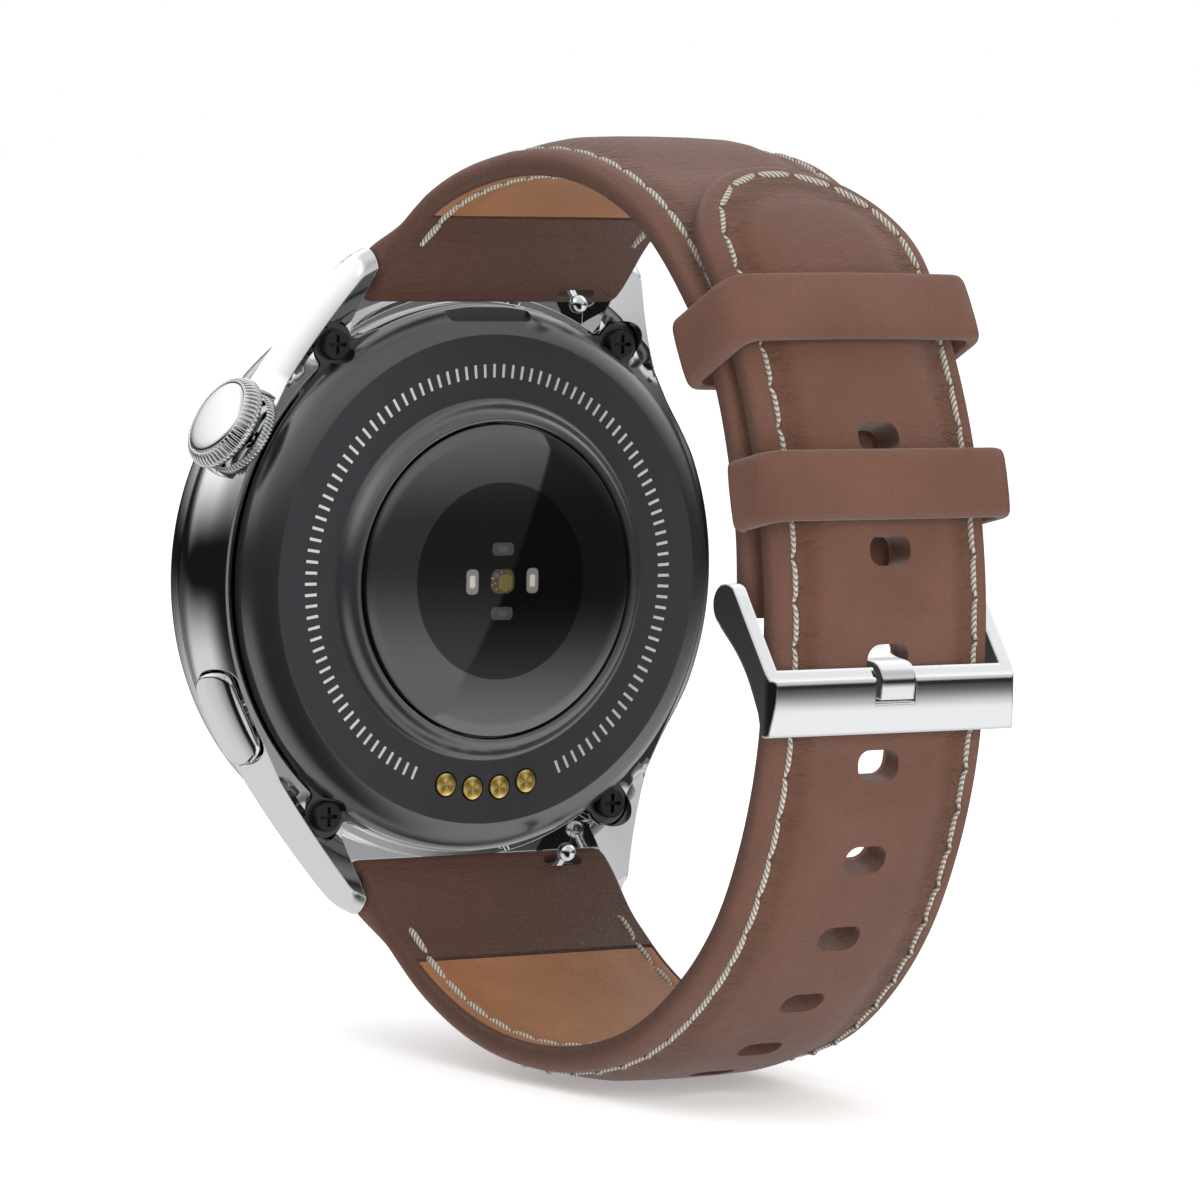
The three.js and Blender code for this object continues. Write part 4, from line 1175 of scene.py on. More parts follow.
@dataclass
class Case:
    """Steel body with its lugs, the front bezel and the display glass."""

    finishes: Finishes
    radius: float = 23.0
    back_radius: float = 21.3
    bore: float = 19.2
    cover_bore: float = 20.75
    seat: float = 8.5
    front: float = 3.0
    widest: float = 5.85
    back: float = 8.8
    bulge: float = 0.45
    front_tangent: float = 31.4
    back_tangent: float = 27.5
    under_start: float = 22.0
    under_slope: float = 1.013
    tip: Pair = (25.0, 10.65)
    tip_radius: float = 2.0
    tip_arc: Pair = (-43.0, 70.0)
    lug_gap: float = 22.0

    def _flank(self, t: float, radius: float, tangent: float) -> float:
        """Radius of a flank that leaves its circle along a tangent."""
        return radius if t <= tangent else radius / math.cos((t - tangent) * RAD)

    def _under(self, r: float) -> float:
        """Height of the underside at a radius."""
        return self.back + max(0.0, r - self.under_start) * self.under_slope

    def _section(self, azimuth: float) -> list[Pair]:
        """Closed (radius, height) outline of the body at one azimuth.

        Args:
            azimuth: Degrees from 3 o'clock towards 12.

        Returns:
            The outline.
        """
        half = azimuth % 180
        t = 180 - half if half > 90 else half
        front = self._flank(t, self.radius, self.front_tangent)
        back = self._flank(t, self.back_radius, self.back_tangent)
        spread = min(1.0, max(0.0, (t - self.front_tangent + 8) / 12))
        flank = []
        for s in np.linspace(1, 0, 13):
            a = (self.tip_arc[0] + (self.tip_arc[1] - self.tip_arc[0]) * s) * RAD
            tip = (self.tip[0] + self.tip_radius * math.cos(a), self.tip[1] + self.tip_radius * math.sin(a))
            front_y = self.widest + front - self.radius
            swell = self.bulge * 4 * s * (1 - s) * (1 - 0.6 * spread)
            side = (front + (back - front) * s + swell, front_y + (self._under(back) - front_y) * s)
            flank.append(side if side[0] < tip[0] else tip)
        inner = [(self.bore, self.front), (self.bore, self.seat), (self.cover_bore, self.seat),
                 (self.cover_bore, self.back - 0.1), (self.cover_bore + 0.1, self.back)]
        start = self.cover_bore + 0.1
        under = [(start + (flank[0][0] - start) * k, self._under(start + (flank[0][0] - start) * k))
                 for k in (0.3, 0.6, 0.9)]
        return inner + under + flank + [(22.72, 4.95), (22.35, 4.0), (21.9, self.front)]

    def build(self) -> None:
        """Makes the three pieces."""
        azimuths = np.arange(0, 360, 1.0)
        rows = np.array([[on_radius(a, r, y) for r, y in self._section(a)] for a in azimuths])
        body = skin("steel_case", rows, wrap=True)
        half = self.lug_gap / 2
        gap = prism("gap", [(-half, 0), (half, 0), (half, 20), (-half, 20)], -40, 40, "z")
        channel = cut(lathe("rim", [(20.7, 8.05), (31, 8.05), (31, 18), (20.7, 18)], 256), Cut.ON,
                      lathe("ledge", [(21.3, 6.4), (31, 6.4), (31, 17.5), (21.3, 17.5)], 250))
        channel = cut(channel, Cut.KEEP, gap)
        pockets = joined(*[prism("pocket", cover_ear(x, z, 0.09), 7.0, 14, "y") for x, z in screw_places()])
        holes = joined(*[rod("hole", (sx * 10, BAR[0], sz * BAR[1]), (sx * 12.25, BAR[0], sz * BAR[1]), 0.6)
                         for sx in (1, -1) for sz in (1, -1)])
        bore = turned("bore", [(0, 15), (1.04, 15), (1.04, 21.6), (3.55, 21.6), (3.55, 30), (0, 30)],
                      Crown.azimuth, Crown.height)
        cut(body, Cut.OFF, channel, pockets, holes, bore,
            SideButton(self.finishes).plug("button_room", BUTTON_ROOM, 21.0))
        finish_piece(smooth(body, 28), self.finishes.steel, Slot.STEEL, WATCH, "case_body")
        bezel = lathe("front_bezel", [
            (19.3, 2.9), (19.3, 1.3), (19.95, 1.3), (19.95, 0.4), (20.05, 0.24), (20.3, 0.13), (20.6, 0.13),
            (20.95, 0.28), (21.2, 0.55), (21.45, 1.0), (21.65, 1.6), (21.8, 2.3), (21.9, 2.9)], 256)
        finish_piece(smooth(bezel, 40), self.finishes.steel, Slot.STEEL, WATCH, "bezel_ring")
        glass = lathe("display_glass", [(0, 0), (18.8, 0), (19.15, 0.03), (19.45, 0.13), (19.68, 0.32),
                                        (19.8, 0.6),
                                        (19.8, 1.15), (0, 1.15)], 192)
        finish_piece(smooth(glass, 40), self.finishes.display, Slot.GLASS, WATCH, "front_glass")


def screw_places() -> list[Pair]:
    """Centres of the four case screws."""
    return [(a * SCREW_AT[0], b * SCREW_AT[1]) for a, b in ((1, 1), (-1, 1), (1, -1), (-1, -1))]


def cover_ear(x: float, z: float, clear: float) -> list[Pair]:
    """Outline of one screw ear, flowing into the round cover through two hollow curves.

    Args:
        x: Centre of its screw across.
        z: Centre of its screw up.
        clear: Growth all round.

    Returns:
        The outline, in X and Z.
    """
    reach = math.hypot(x, z)
    ux, uz = x / reach, z / reach
    r = 1.65 + clear
    half = [(reach + r * math.cos(a * RAD), r * math.sin(a * RAD)) for a in range(0, 100, 9)]
    start = half[-1]
    half += bezier(start, (start[0] - 0.75, start[1]), (20.75, 2.1 + clear), (20.05, 4.4 + clear), 8)[1:]
    half.append((19.7 - clear, 4.7 + clear))
    whole = half + [(out, -side) for out, side in reversed(half) if side > 1e-6]
    return [(out * ux - side * uz, out * uz + side * ux) for out, side in whole]


# ------------------------------------------------------------------ back


@dataclass
class Back:
    """Black back cover with its sensor glass, print, screws and charging contacts."""

    finishes: Finishes
    flat: float = 11.4
    contact_radius: float = 15.64
    contact_pitch: float = 8.72
    contact_count: int = 4
    tick_radius: float = 15.6
    tick_step: float = 3.0
    tick_gap: float = 24.0

    def _contacts(self) -> list[Pair]:
        """Centres of the contacts, about 6 o'clock.

        Returns:
            The centres, in X and Z.
        """
        first = (self.contact_count - 1) / 2
        spots = []
        for i in range(self.contact_count):
            a = (-90 + (i - first) * self.contact_pitch) * RAD
            spots.append((self.contact_radius * math.cos(a), self.contact_radius * math.sin(a)))
        return spots

    def build(self) -> None:
        """Makes every piece of the back."""
        self._cover()
        self._window()
        self._ticks()
        for i, (x, z) in enumerate(self._contacts(), 1):
            self._contact(i, x, z)
        for i, (x, z) in enumerate(screw_places(), 1):
            self._screw(i, x, z)

    def _cover(self) -> None:
        """The turned cover with its ears, recesses and vent."""
        lip = [(11.0, 10.6), (11.0, 11.5), (11.85, 11.5), (11.85, 12.36), (11.9, 12.47), (12.02, 12.53),
               (12.25, 12.52),
               (12.5, 12.42), (12.72, 12.24), (12.9, 12.0), (13.05, 11.78), (13.22, 11.58), (13.42, 11.45)]
        rim = [(13.65, self.flat), (18.28, self.flat), (18.35, 11.385), (19.4, 11.02), (19.75, 10.76),
               (20.1, 10.42),
               (20.35, 10.08), (20.47, 9.8), (20.5, 9.5), (20.5, 8.75), (19.3, 8.75), (19.3, 9.3),
               (18.2, 10.15),
               (12.2, 10.15)]
        cover = lathe("back_cover", lip + rim, 240)
        ears = joined(*[prism("ear", cover_ear(x, z, 0), 7.3, 8.95, "y") for x, z in screw_places()])
        cut(cover, Cut.ON, ears)
        wells = joined(*[rod("well", (x, 8.95, z), (x, 13, z), 1.37, 48) for x, z in screw_places()])
        bores = joined(*[rod("bore", (x, 6, z), (x, 10, z), 0.8, 24) for x, z in screw_places()])
        seats = joined(*[rod("seat", (x, 9, z), (x, 12, z), 0.96, 48) for x, z in self._contacts()])
        vent = prism("vent", [(a, b + 19.75) for a, b in pill(7.4, 1.05)], 10.1, 12, "y")
        cut(cover, Cut.OFF, wells, bores, seats, vent)
        finish_piece(smooth(cover, 26), self.finishes.polymer, Slot.POLYMER, WATCH, "rear_cover")

    def _window(self) -> None:
        """The domed sensor glass."""
        radii = np.linspace(11.45, 0, 16)
        dome = [(float(r), 13.16 - 0.00485 * float(r) ** 2) for r in radii]
        profile = [(0, 11.65), (11.67, 11.65), (11.67, 12.38), (11.62, 12.47)] + dome
        glass = lathe("sensor_glass", profile, 192)
        finish_piece(smooth(glass, 40), self.finishes.lens, Slot.GLASS, WATCH, "sensor_window")

    def _ticks(self) -> None:
        """A plain ring of printed dashes, open at the contacts."""
        unit = prism("tick", [(-0.5, -0.11), (0.5, -0.11), (0.5, 0.11), (-0.5, 0.11)], -0.012, 0.012, "z")
        tree = ring_tree(self.finishes.ink, unit)
        count = int((360 - 2 * self.tick_gap) / self.tick_step) + 1
        host = host_curve("printed_ticks", [[(0, 0, 0), (1, 0, 0)]])
        ring = tree.run(host, {"Count": count, "Radius": self.tick_radius * MM,
                               "Start": (-90 + self.tick_gap) * RAD, "Step": self.tick_step * RAD})
        discard(unit)
        turn = Matrix(((1, 0, 0, 0), (0, 0, 1, 0), (0, 1, 0, 0), (0, 0, 0, 1)))
        ring.data.transform(Matrix.Translation((0, (self.flat + 0.008) * MM, 0)) @ turn)
        ring.data.flip_normals()
        finish_piece(ring, self.finishes.ink, Slot.POLYMER)

    def _contact(self, number: int, x: float, z: float) -> None:
        """One gold contact, slightly dished.

        Args:
            number: Number of the contact.
            x: Centre across.
            z: Centre up.
        """
        pin = lathe(f"contact_{number}", [(0, 9.1), (0.5, 9.1), (0.5, 10.9), (0.86, 10.9), (0.86, 11.4),
                                          (0.84, 11.45),
                                          (0.78, 11.47), (0.4, 11.45), (0, 11.44)], 64)
        pin.data.transform(Matrix.Translation((x * MM, 0, z * MM)))
        gold = SpunGoldPaintedSheen(f"spun_gold_{number}", (x, z)).material()
        finish_piece(smooth(pin, 30), gold, Slot.GOLD, WATCH, f"charge_contact_{number}")

    def _screw(self, number: int, x: float, z: float) -> None:
        """One cross-head screw.

        Args:
            number: Number of the screw.
            x: Centre across.
            z: Centre up.
        """
        head = lathe(f"screw_{number}", [(0, 4.75), (0.6, 4.75), (0.6, 8.98), (1.15, 8.98), (1.15, 9.5),
                                         (1.12, 9.6),
                                         (1.04, 9.66), (0, 9.66)], 64)
        bars = [prism("bar", [(-0.72, -0.14), (0.72, -0.14), (0.72, 0.14), (-0.72, 0.14)], 9.3, 10, "y"),
                prism("bar", [(-0.14, -0.72), (0.14, -0.72), (0.14, 0.72), (-0.14, 0.72)], 9.3, 10, "y")]
        cut(head, Cut.OFF, cut(bars[0], Cut.ON, bars[1]))
        head.data.transform(Matrix.Translation((x * MM, 0, z * MM)))
        finish_piece(smooth(head, 30), self.finishes.screw, Slot.SCREW, WATCH, f"case_screw_{number}")


# ------------------------------------------------------------------ crown


@dataclass
class Crown:
    """Coin-edged crown with its domed cap, on a knurled tube."""

    finishes: Finishes
    azimuth: float = 29.4
    height: float = 7.4
    face: float = 24.7
    flutes: int = 56
    collar_flutes: int = 64

    def build(self) -> None:
        """Makes the pieces of the crown."""
        face = self.face
        knob = turned("crown_wheel", [
            (0.95, face - 0.95), (0.95, face - 1.62), (2.9, face - 1.7), (3.12, face - 1.62),
            (3.34, face - 1.42),
            (3.5, face - 1.15), (3.55, face - 0.85), (3.42, face - 0.5), (3.22, face - 0.18),
            (3.05, face - 0.02),
            (2.97, face - 0.04), (2.95, face - 0.5), (0.95, face - 0.55)], self.azimuth, self.height, 168)
        finish_piece(smooth(knob, 30), self.finishes.steel, Slot.STEEL, "crown_wheel", "crown_knob")
        ribs = self._ribs("crown_flutes", self.flutes, [
            (2.96, -1.64, 0.04), (3.16, -1.58, 0.1), (3.38, -1.4, 0.14), (3.56, -1.1, 0.16),
            (3.56, -0.75, 0.15),
            (3.42, -0.4, 0.14), (3.22, -0.12, 0.09), (3.08, -0.01, 0.03)], self.face)
        finish_piece(smooth(ribs, 60), self.finishes.steel, Slot.STEEL, "crown_wheel")
        cap = turned("crown_dome", [
            (0, face - 0.48), (2.88, face - 0.48), (2.88, face - 0.06), (2.8, face + 0.02),
            (2.6, face + 0.09),
            (2.2, face + 0.15), (1.5, face + 0.205), (0.8, face + 0.232), (0, face + 0.24)],
            self.azimuth, self.height, 128)
        finish_piece(smooth(cap, 40), self.finishes.steel, Slot.STEEL, "crown_wheel", "crown_cap")
        tube = turned("crown_collar", [
            (0.72, 19.0), (1.0, 19.0), (1.0, 21.68), (3.0, 21.68), (3.12, 21.8), (3.12, 22.3), (3.0, 22.42),
            (0.72, 22.42)], self.azimuth, self.height, 160)
        finish_piece(smooth(tube, 30), self.finishes.steel, Slot.STEEL, WATCH, "crown_tube")
        collar = self._ribs("collar_knurl", self.collar_flutes, [
            (3.0, -0.04, 0.03), (3.18, 0.08, 0.11), (3.2, 0.4, 0.12), (3.18, 0.66, 0.11), (3.0, 0.78, 0.03)],
                            21.66)
        finish_piece(smooth(collar, 60), self.finishes.steel, Slot.STEEL)

    def _ribs(self, name: str, count: int, spine: Sequence[Triple], at: float) -> bpy.types.Object:
        """A ring of half-round ribs that follow a spine of (radius, offset, half width).

        Args:
            name: Name of the piece.
            count: Number of ribs.
            spine: Points of one rib.
            at: Where the offsets start.

        Returns:
            The ring of ribs.
        """
        rows = []
        for radius, offset, half in spine:
            rows.append([(radius + half * 0.75 * math.cos(a * RAD), half * math.sin(a * RAD), offset)
                         for a in (-110, -70, -35, 0, 35, 70, 110)])
        unit = skin("rib", np.array(rows))
        tree = ring_tree(self.finishes.steel, unit)
        host = host_curve(name, [[(0, 0, 0), (1, 0, 0)]])
        ring = tree.run(host, {"Count": count, "Radius": 0.0, "Start": 0.0, "Step": 2 * math.pi / count})
        discard(unit)
        lift = Matrix.Rotation(-90 * RAD, 4, "X")
        ring.data.transform(radial_frame(self.azimuth,
                                         self.height) @ Matrix.Translation((0, at * MM, 0)) @ lift)
        return ring


# ------------------------------------------------------------------ side button


@dataclass
class SideButton:
    """Long polished button in its slot."""

    finishes: Finishes
    azimuth: float = -26.8
    height: float = 7.25
    length: float = 7.6
    width: float = 2.6
    proud: float = 0.5

    def plug(self, name: str, grow: float, start: float) -> bpy.types.Object:
        """The button's outline pushed outwards along its own radius.

        Args:
            name: Name of the object.
            grow: Growth all round.
            start: Inner end on the radius.

        Returns:
            The solid.
        """
        outline = pill(self.length + 2 * grow, self.width + 2 * grow)
        made = prism(name, [(b, a) for a, b in outline], start, 30, "x")
        turn = Matrix.Rotation(-self.azimuth * RAD, 4, "Y")
        made.data.transform(Matrix.Translation((0, self.height * MM, 0)) @ turn)
        return made

    def build(self) -> None:
        """Makes the button."""
        head = self.plug("push_button", 0.0, 21.45)
        out = self.proud
        flank = lathe("flank", [(0, 4.5), (23 + out, 4.5), (23 + out, 5.85), (22.88 + out, 6.5),
                                (22.75 + out, 7.2),
                                (22.3 + out, 7.8), (21.85 + out, 8.3), (21.3 + out, 8.8), (21.3 + out, 10),
                                (0, 10)], 360)
        cut(head, Cut.KEEP, flank)
        cut(head, Cut.ON, rod("stem", on_radius(self.azimuth, 18.55, self.height),
                              on_radius(self.azimuth, 21.8, self.height), 0.6))
        finish_piece(smooth(bevelled(head, 0.16, 3, 40), 24), self.finishes.steel, Slot.STEEL, "button",
                     "side_button")


# ------------------------------------------------------------------ strap


class StrapLine:
    """The middle of a strap's thickness in the Y-Z plane, measured along its length."""

    def __init__(self, points: Sequence[Pair], outward: float) -> None:
        """Samples a centripetal curve through the points.

        Args:
            points: Places in Y and Z.
            outward: Sign that turns the normal away from the wrist.
        """
        p = np.array(points, dtype=float)
        ends = np.vstack([2 * p[0] - p[1], p, 2 * p[-1] - p[-2]])
        samples = []
        for i in range(len(p) - 1):
            p0, p1, p2, p3 = ends[i:i + 4]
            d0, d1, d2 = [math.sqrt(float(np.linalg.norm(b - a))) for a, b in ((p0, p1), (p1, p2), (p2, p3))]
            t1 = ((p1 - p0) / d0 - (p2 - p0) / (d0 + d1) + (p2 - p1) / d1) * d1
            t2 = ((p2 - p1) / d1 - (p3 - p1) / (d1 + d2) + (p3 - p2) / d2) * d1
            for t in np.linspace(0, 1, 60, endpoint=False):
                samples.append(p1 + t1 * t + (-3 * p1 + 3 * p2 - 2 * t1 - t2) * t ** 2
                               + (2 * p1 - 2 * p2 + t1 + t2) * t ** 3)
        samples.append(p[-1])
        self.points = np.array(samples)
        self.lengths = np.concatenate([[0], np.cumsum(np.linalg.norm(np.diff(self.points, axis=0), axis=1))])
        self.length = float(self.lengths[-1])
        self.tangents = np.gradient(self.points, self.lengths, axis=0)
        self.outward = outward

    def at(self, distance: float) -> tuple[np.ndarray, np.ndarray, np.ndarray]:
        """Point, tangent and outward normal at a distance; past either end the line runs on straight.

        Args:
            distance: Distance along the line.

        Returns:
            Point, tangent and normal, in Y and Z.
        """
        s = min(max(distance, 0.0), self.length)
        point = np.array([np.interp(s, self.lengths, self.points[:, k]) for k in (0, 1)])
        tangent = np.array([np.interp(s, self.lengths, self.tangents[:, k]) for k in (0, 1)])
        tangent /= np.linalg.norm(tangent)
        normal = np.array([tangent[1], -tangent[0]]) * self.outward
        return point + tangent * (distance - s), tangent, normal

    def place(self, distance: float, x: float, n: float) -> Triple:
        """A point at a distance along, across and above the line."""
        point, _, normal = self.at(distance)
        return (x, float(point[0] + normal[0] * n), float(point[1] + normal[1] * n))

    def distance_at(self, z: float, start: float) -> float:
        """Distance past start at which the line is nearest a height."""
        options = np.arange(start, self.length, 0.1)
        return float(min(options, key=lambda s: abs(self.at(s)[0][1] - z)))


def release_way(side: int) -> Vector:
    """Direction from a spring bar to its release knob, on the 12 (1) or 6 o'clock (-1) side."""
    return Vector((0, KNOB_OUT[0], -side * KNOB_OUT[1])).normalized()


def release_frame(side: int) -> Matrix:
    """Carries Z onto the direction of the release knob, at the middle of a spring bar.

    Args:
        side: 1 at 12 o'clock and -1 at 6 o'clock.

    Returns:
        The transform, in metres.
    """
    out = release_way(side)
    turn = Matrix((Vector((1, 0, 0)), out.cross(Vector((1, 0, 0))), out)).transposed().to_4x4()
    return Matrix.Translation((0, BAR[0] * MM, side * BAR[1] * MM)) @ turn


def ease(value: float) -> float:
    """Smooth step from 0 to 1."""
    t = min(1.0, max(0.0, value))
    return t * t * (3 - 2 * t)


SHORT_LINE = StrapLine([
    (10.5, 22.65), (14.5, 25.4), (18.9, 28.3), (24.4, 30.3), (31.6, 31.35), (38.4, 30.6), (44.8, 27.8),
    (50.2, 22.7),
    (53.5, 18.0), (55.8, 12.0), (57.0, 6.5), (57.35, 1.75)], -1)
LONG_LINE = StrapLine([
    (10.5, -22.65), (14.8, -25.65), (20.3, -29.15), (26.6, -31.5), (33.2, -32.3), (39.7, -31.65),
    (45.9, -29.5),
    (51.2, -25.7), (55.3, -21.0), (58.3, -15.0), (60.1, -8.5), (60.6, -2.0), (60.35, 4.0), (58.8, 11.9),
    (56.3, 18.3),
    (52.9, 24.2), (48.2, 28.8), (45.3, 31.0)], 1)


@dataclass
class Strap:
    """One half of the strap: folded leather, its lining and its stitching."""

    finishes: Finishes
    name: str
    line: StrapLine
    side: int
    end: float
    rounded: bool
    holes: tuple[float, ...] = ()
    wide: float = 21.6
    narrow: float = 18.0
    half_depth: float = 0.95
    lining: float = 0.55
    wrap_end: float = 9.2
    stitch_inset: float = 1.5
    stitch_start: float = 7.2
    pitch: float = 2.95
    nose: float = 1.95
    nose_taper: float = 6.5
    tip_length: float = 9.5
    insets: tuple[float, ...] = (0.0, 0.03, 0.1, 0.2, 0.33, 0.5, 0.75, 1.0, 1.2, 1.32, 1.41, 1.5, 1.59, 1.68,
                                 1.8, 2.1,
                                 2.5, 3.0, 3.6, 4.3, 5.1, 6.2, 7.6)

    def half(self, s: float) -> float:
        """Half width without the rounded tip."""
        return (self.wide + (self.narrow - self.wide) * ease((s - 4) / 52)) / 2

    def tip_share(self, s: float) -> float:
        """Part of the width that the rounded tip leaves.

        Args:
            s: Distance along the strap.

        Returns:
            A share from 0 to 1.
        """
        past = s - (self.end - self.tip_length)
        if not self.rounded or past <= 0:
            return 1.0
        return math.sqrt(max(0.0, 1 - (past / self.tip_length) ** 2))

    def inset(self, s: float, x: float) -> float:
        """Distance from a point of the surface to the edge of the strap.

        Args:
            s: Distance along the strap.
            x: Place across it.

        Returns:
            The distance.
        """
        past = s - (self.end - self.tip_length)
        half = self.half(s)
        if not self.rounded or past <= 0:
            return half - abs(x)
        share = math.hypot(x / half, past / self.tip_length)
        return max(0.0, 1 - share) * half

    def crown(self, s: float) -> float:
        """Height of the padding.

        Args:
            s: Distance along the strap.

        Returns:
            The height.
        """
        height = 1.15 + (0.8 - 1.15) * min(1.0, s / 45)
        height *= ease((s - 1) / 9) * ease((self.end - s) / 7)
        if self.side > 0:
            return height * (1 - 0.8 * ease((s - 27) / 6))
        return height * min(1.0, max(0.0, abs(s - 67.3) / 4.0 - 0.6))

    def top(self, s: float, inset: float) -> float:
        """Height of the outer surface above the middle of the strap.

        Args:
            s: Distance along the strap.
            inset: Distance from its edge.

        Returns:
            The height.
        """
        edge = 0.85
        depth = self.half_depth + (self.nose - self.half_depth) * (1 - ease(s / self.nose_taper))
        if inset < edge:
            return depth - edge + math.sqrt(max(0.0, edge ** 2 - (edge - inset) ** 2))
        groove = 0.17 * max(0.0, 1 - ((inset - self.stitch_inset) / 0.3) ** 2) ** 2
        groove *= ease((s - self.stitch_start + 1) / 2)
        rise = self.crown(s) * (0.84 * ease((inset - 1.7) / 3.4) + 0.16 * ease((inset - 3.0) / 6))
        return depth + 0.04 * ease((inset - 0.7) / 0.5) - groove + rise

    def bottom(self, s: float) -> float:
        """Height of the wrist-side surface."""
        return -(self.half_depth + (self.nose - self.half_depth) * (1 - ease(s / self.nose_taper)))

    def _stations(self) -> np.ndarray:
        """Distances at which the strap's section is drawn.

        Returns:
            The distances.
        """
        body_end = self.end - self.tip_length if self.rounded else self.end
        steps = [np.linspace(0, 8, 22, endpoint=False), [self.wrap_end - 0.02, self.wrap_end],
                 np.linspace(self.wrap_end + 0.4, body_end, 150 if self.side < 0 else 100)]
        if self.rounded:
            turn = np.linspace(0, 89.2, 40)[1:]
            steps.append(body_end + self.tip_length * np.sin(turn * RAD))
        return np.concatenate(steps)

    def _leather(self) -> bpy.types.Object:
        """Lofts the outer leather, with a shallow bed for the lining on its wrist side.

        Returns:
            The leather, not cut yet.
        """
        rows, plan, edge = [], [], []
        for s in self._stations():
            half = self.half(s) * self.tip_share(s)
            scale = min(1.0, half / 9.2)
            xs = [half - i * scale for i in self.insets] + [0.0]
            low = self.bottom(s)
            folded = s < self.wrap_end
            lip = min(0.42, half * 0.5)
            bed = low if folded else low + self.lining + 0.05
            right = [(x, self.top(s, self.inset(s, x))) for x in xs]
            under = [(half, low + 0.45), (half - 0.06 * scale, low + 0.2), (half - 0.2 * scale, low + 0.05),
                     (half - 0.34 * scale, low), (half - lip, low), (half - lip - 0.01 * scale, bed),
                     (half * 0.4, bed)]
            ring = right + [(-x, n) for x, n in reversed(right[:-1])]
            ring += [(-x, n) for x, n in under] + list(reversed(under))
            rows.append([self.line.place(s, x, n) for x, n in ring])
            plan.append([(x, s) for x, _ in ring])
            edge.append([(self.inset(s, x), n) for x, n in ring])
        return skin(f"{self.name}_leather", np.array(rows),
                    layers={"plan": np.array(plan), "edge": np.array(edge)})

    def _fold(self) -> bpy.types.Object:
        """The rounded roll of leather round the spring bar.

        Returns:
            The roll.
        """
        width = self.wide / 2
        ends = [(0, -width), (self.nose - 0.5, -width), (self.nose - 0.22, -width + 0.06),
                (self.nose - 0.06, -width + 0.22),
                (self.nose, -width + 0.5)]
        profile = ends + [(r, -y) for r, y in reversed(ends)]
        roll = lathe("roll", profile, 96)
        roll.data.transform(Matrix.Rotation(-90 * RAD, 4, "Z"))
        roll.data.transform(Matrix.Translation((0, BAR[0] * MM, self.side * BAR[1] * MM)))
        return roll

    def _slot(self) -> bpy.types.Object:
        """The slot that the quick-release knob travels in.

        Returns:
            The solid to cut away.
        """
        made = prism("slot", [(x - 6.68, y) for x, y in pill(3.3, 1.15)], 0, 5, "z")
        made.data.transform(release_frame(self.side))
        return made

    def _hole(self, s: float, grow: float = 0.0) -> bpy.types.Object:
        """A rounded adjusting hole, larger all round by an allowance.

        Args:
            s: Distance along the strap.
            grow: The allowance.

        Returns:
            The solid to cut away.
        """
        corner = 0.9
        wide, tall = 1.7 + grow - corner, 1.05 + grow - corner
        outline = []
        for k, (cx, cz) in enumerate(((wide, tall), (-wide, tall), (-wide, -tall), (wide, -tall))):
            outline += [(cx + corner * math.cos((90 * k + a) * RAD),
                         cz + corner * math.sin((90 * k + a) * RAD))
                        for a in range(0, 91, 15)]
        made = prism("hole", outline, -4, 4, "z")
        point, tangent, _ = self.line.at(s)
        axes = (Vector((1, 0, 0)), Vector((0, *tangent)), Vector((0, -tangent[1], tangent[0])))
        turn = Matrix(axes).transposed().to_4x4()
        made.data.transform(Matrix.Translation((0, point[0] * MM, point[1] * MM)) @ turn)
        return made

    def build(self, trims: Callable[[], list[bpy.types.Object]] = list) -> None:
        """Makes the leather, lining and stitches.

        Args:
            trims: Gives further solids to cut from the leather.
        """
        leather = self._leather()
        cut(leather, Cut.ON, self._fold())
        bar = rod("bar", (-12, BAR[0], self.side * BAR[1]), (12, BAR[0], self.side * BAR[1]), 1.05)
        cut(leather, Cut.OFF, cut(bar, Cut.ON, self._slot()), *trims())
        lining = self._lining()
        if self.holes:
            cut(leather, Cut.OFF, joined(*[self._hole(s) for s in self.holes]))
            cut(lining, Cut.OFF, joined(*[self._hole(s, 0.15) for s in self.holes]))
        finish_piece(smooth(leather, 36), self.finishes.leather, Slot.LEATHER, WATCH, f"{self.name}_outer")
        finish_piece(smooth(lining, 36), self.finishes.lining, Slot.LINING, WATCH, f"{self.name}_lining")
        self._stitches()

    def _lining(self) -> bpy.types.Object:
        """The tan lining, let into the leather.

        Returns:
            The lining, not cut yet.
        """
        rows, plan, edge = [], [], []
        for s in self._stations():
            if s < self.wrap_end + 0.05 or (not self.rounded and s > self.end - 2.4):
                continue
            half = self.half(s) * self.tip_share(s) - 0.44
            if half < 0.6:
                continue
            low = self.bottom(s)
            scale = min(1.0, half / 8.6)
            ring = []
            for sign in (1, -1):
                side = [(half, low + self.lining), (half, low + 0.12), (half - 0.06, low + 0.03),
                        (half - 0.16, low)]
                dip = self.stitch_inset - 0.44
                side += [(half - (dip - 0.3) * scale, low), (half - dip * scale, low + 0.12),
                         (half - (dip + 0.3) * scale, low),
                         (half * 0.4, low)]
                side = [(sign * x, n) for x, n in side]
                ring += side if sign > 0 else list(reversed(side))
            rows.append([self.line.place(s, x, n) for x, n in ring])
            plan.append([(x, s) for x, _ in ring])
            edge.append([(half + 0.44 - abs(x), 1.0) for x, _ in ring])
        return skin(f"{self.name}_tan_face", np.array(rows),
                    layers={"plan": np.array(plan), "edge": np.array(edge)})

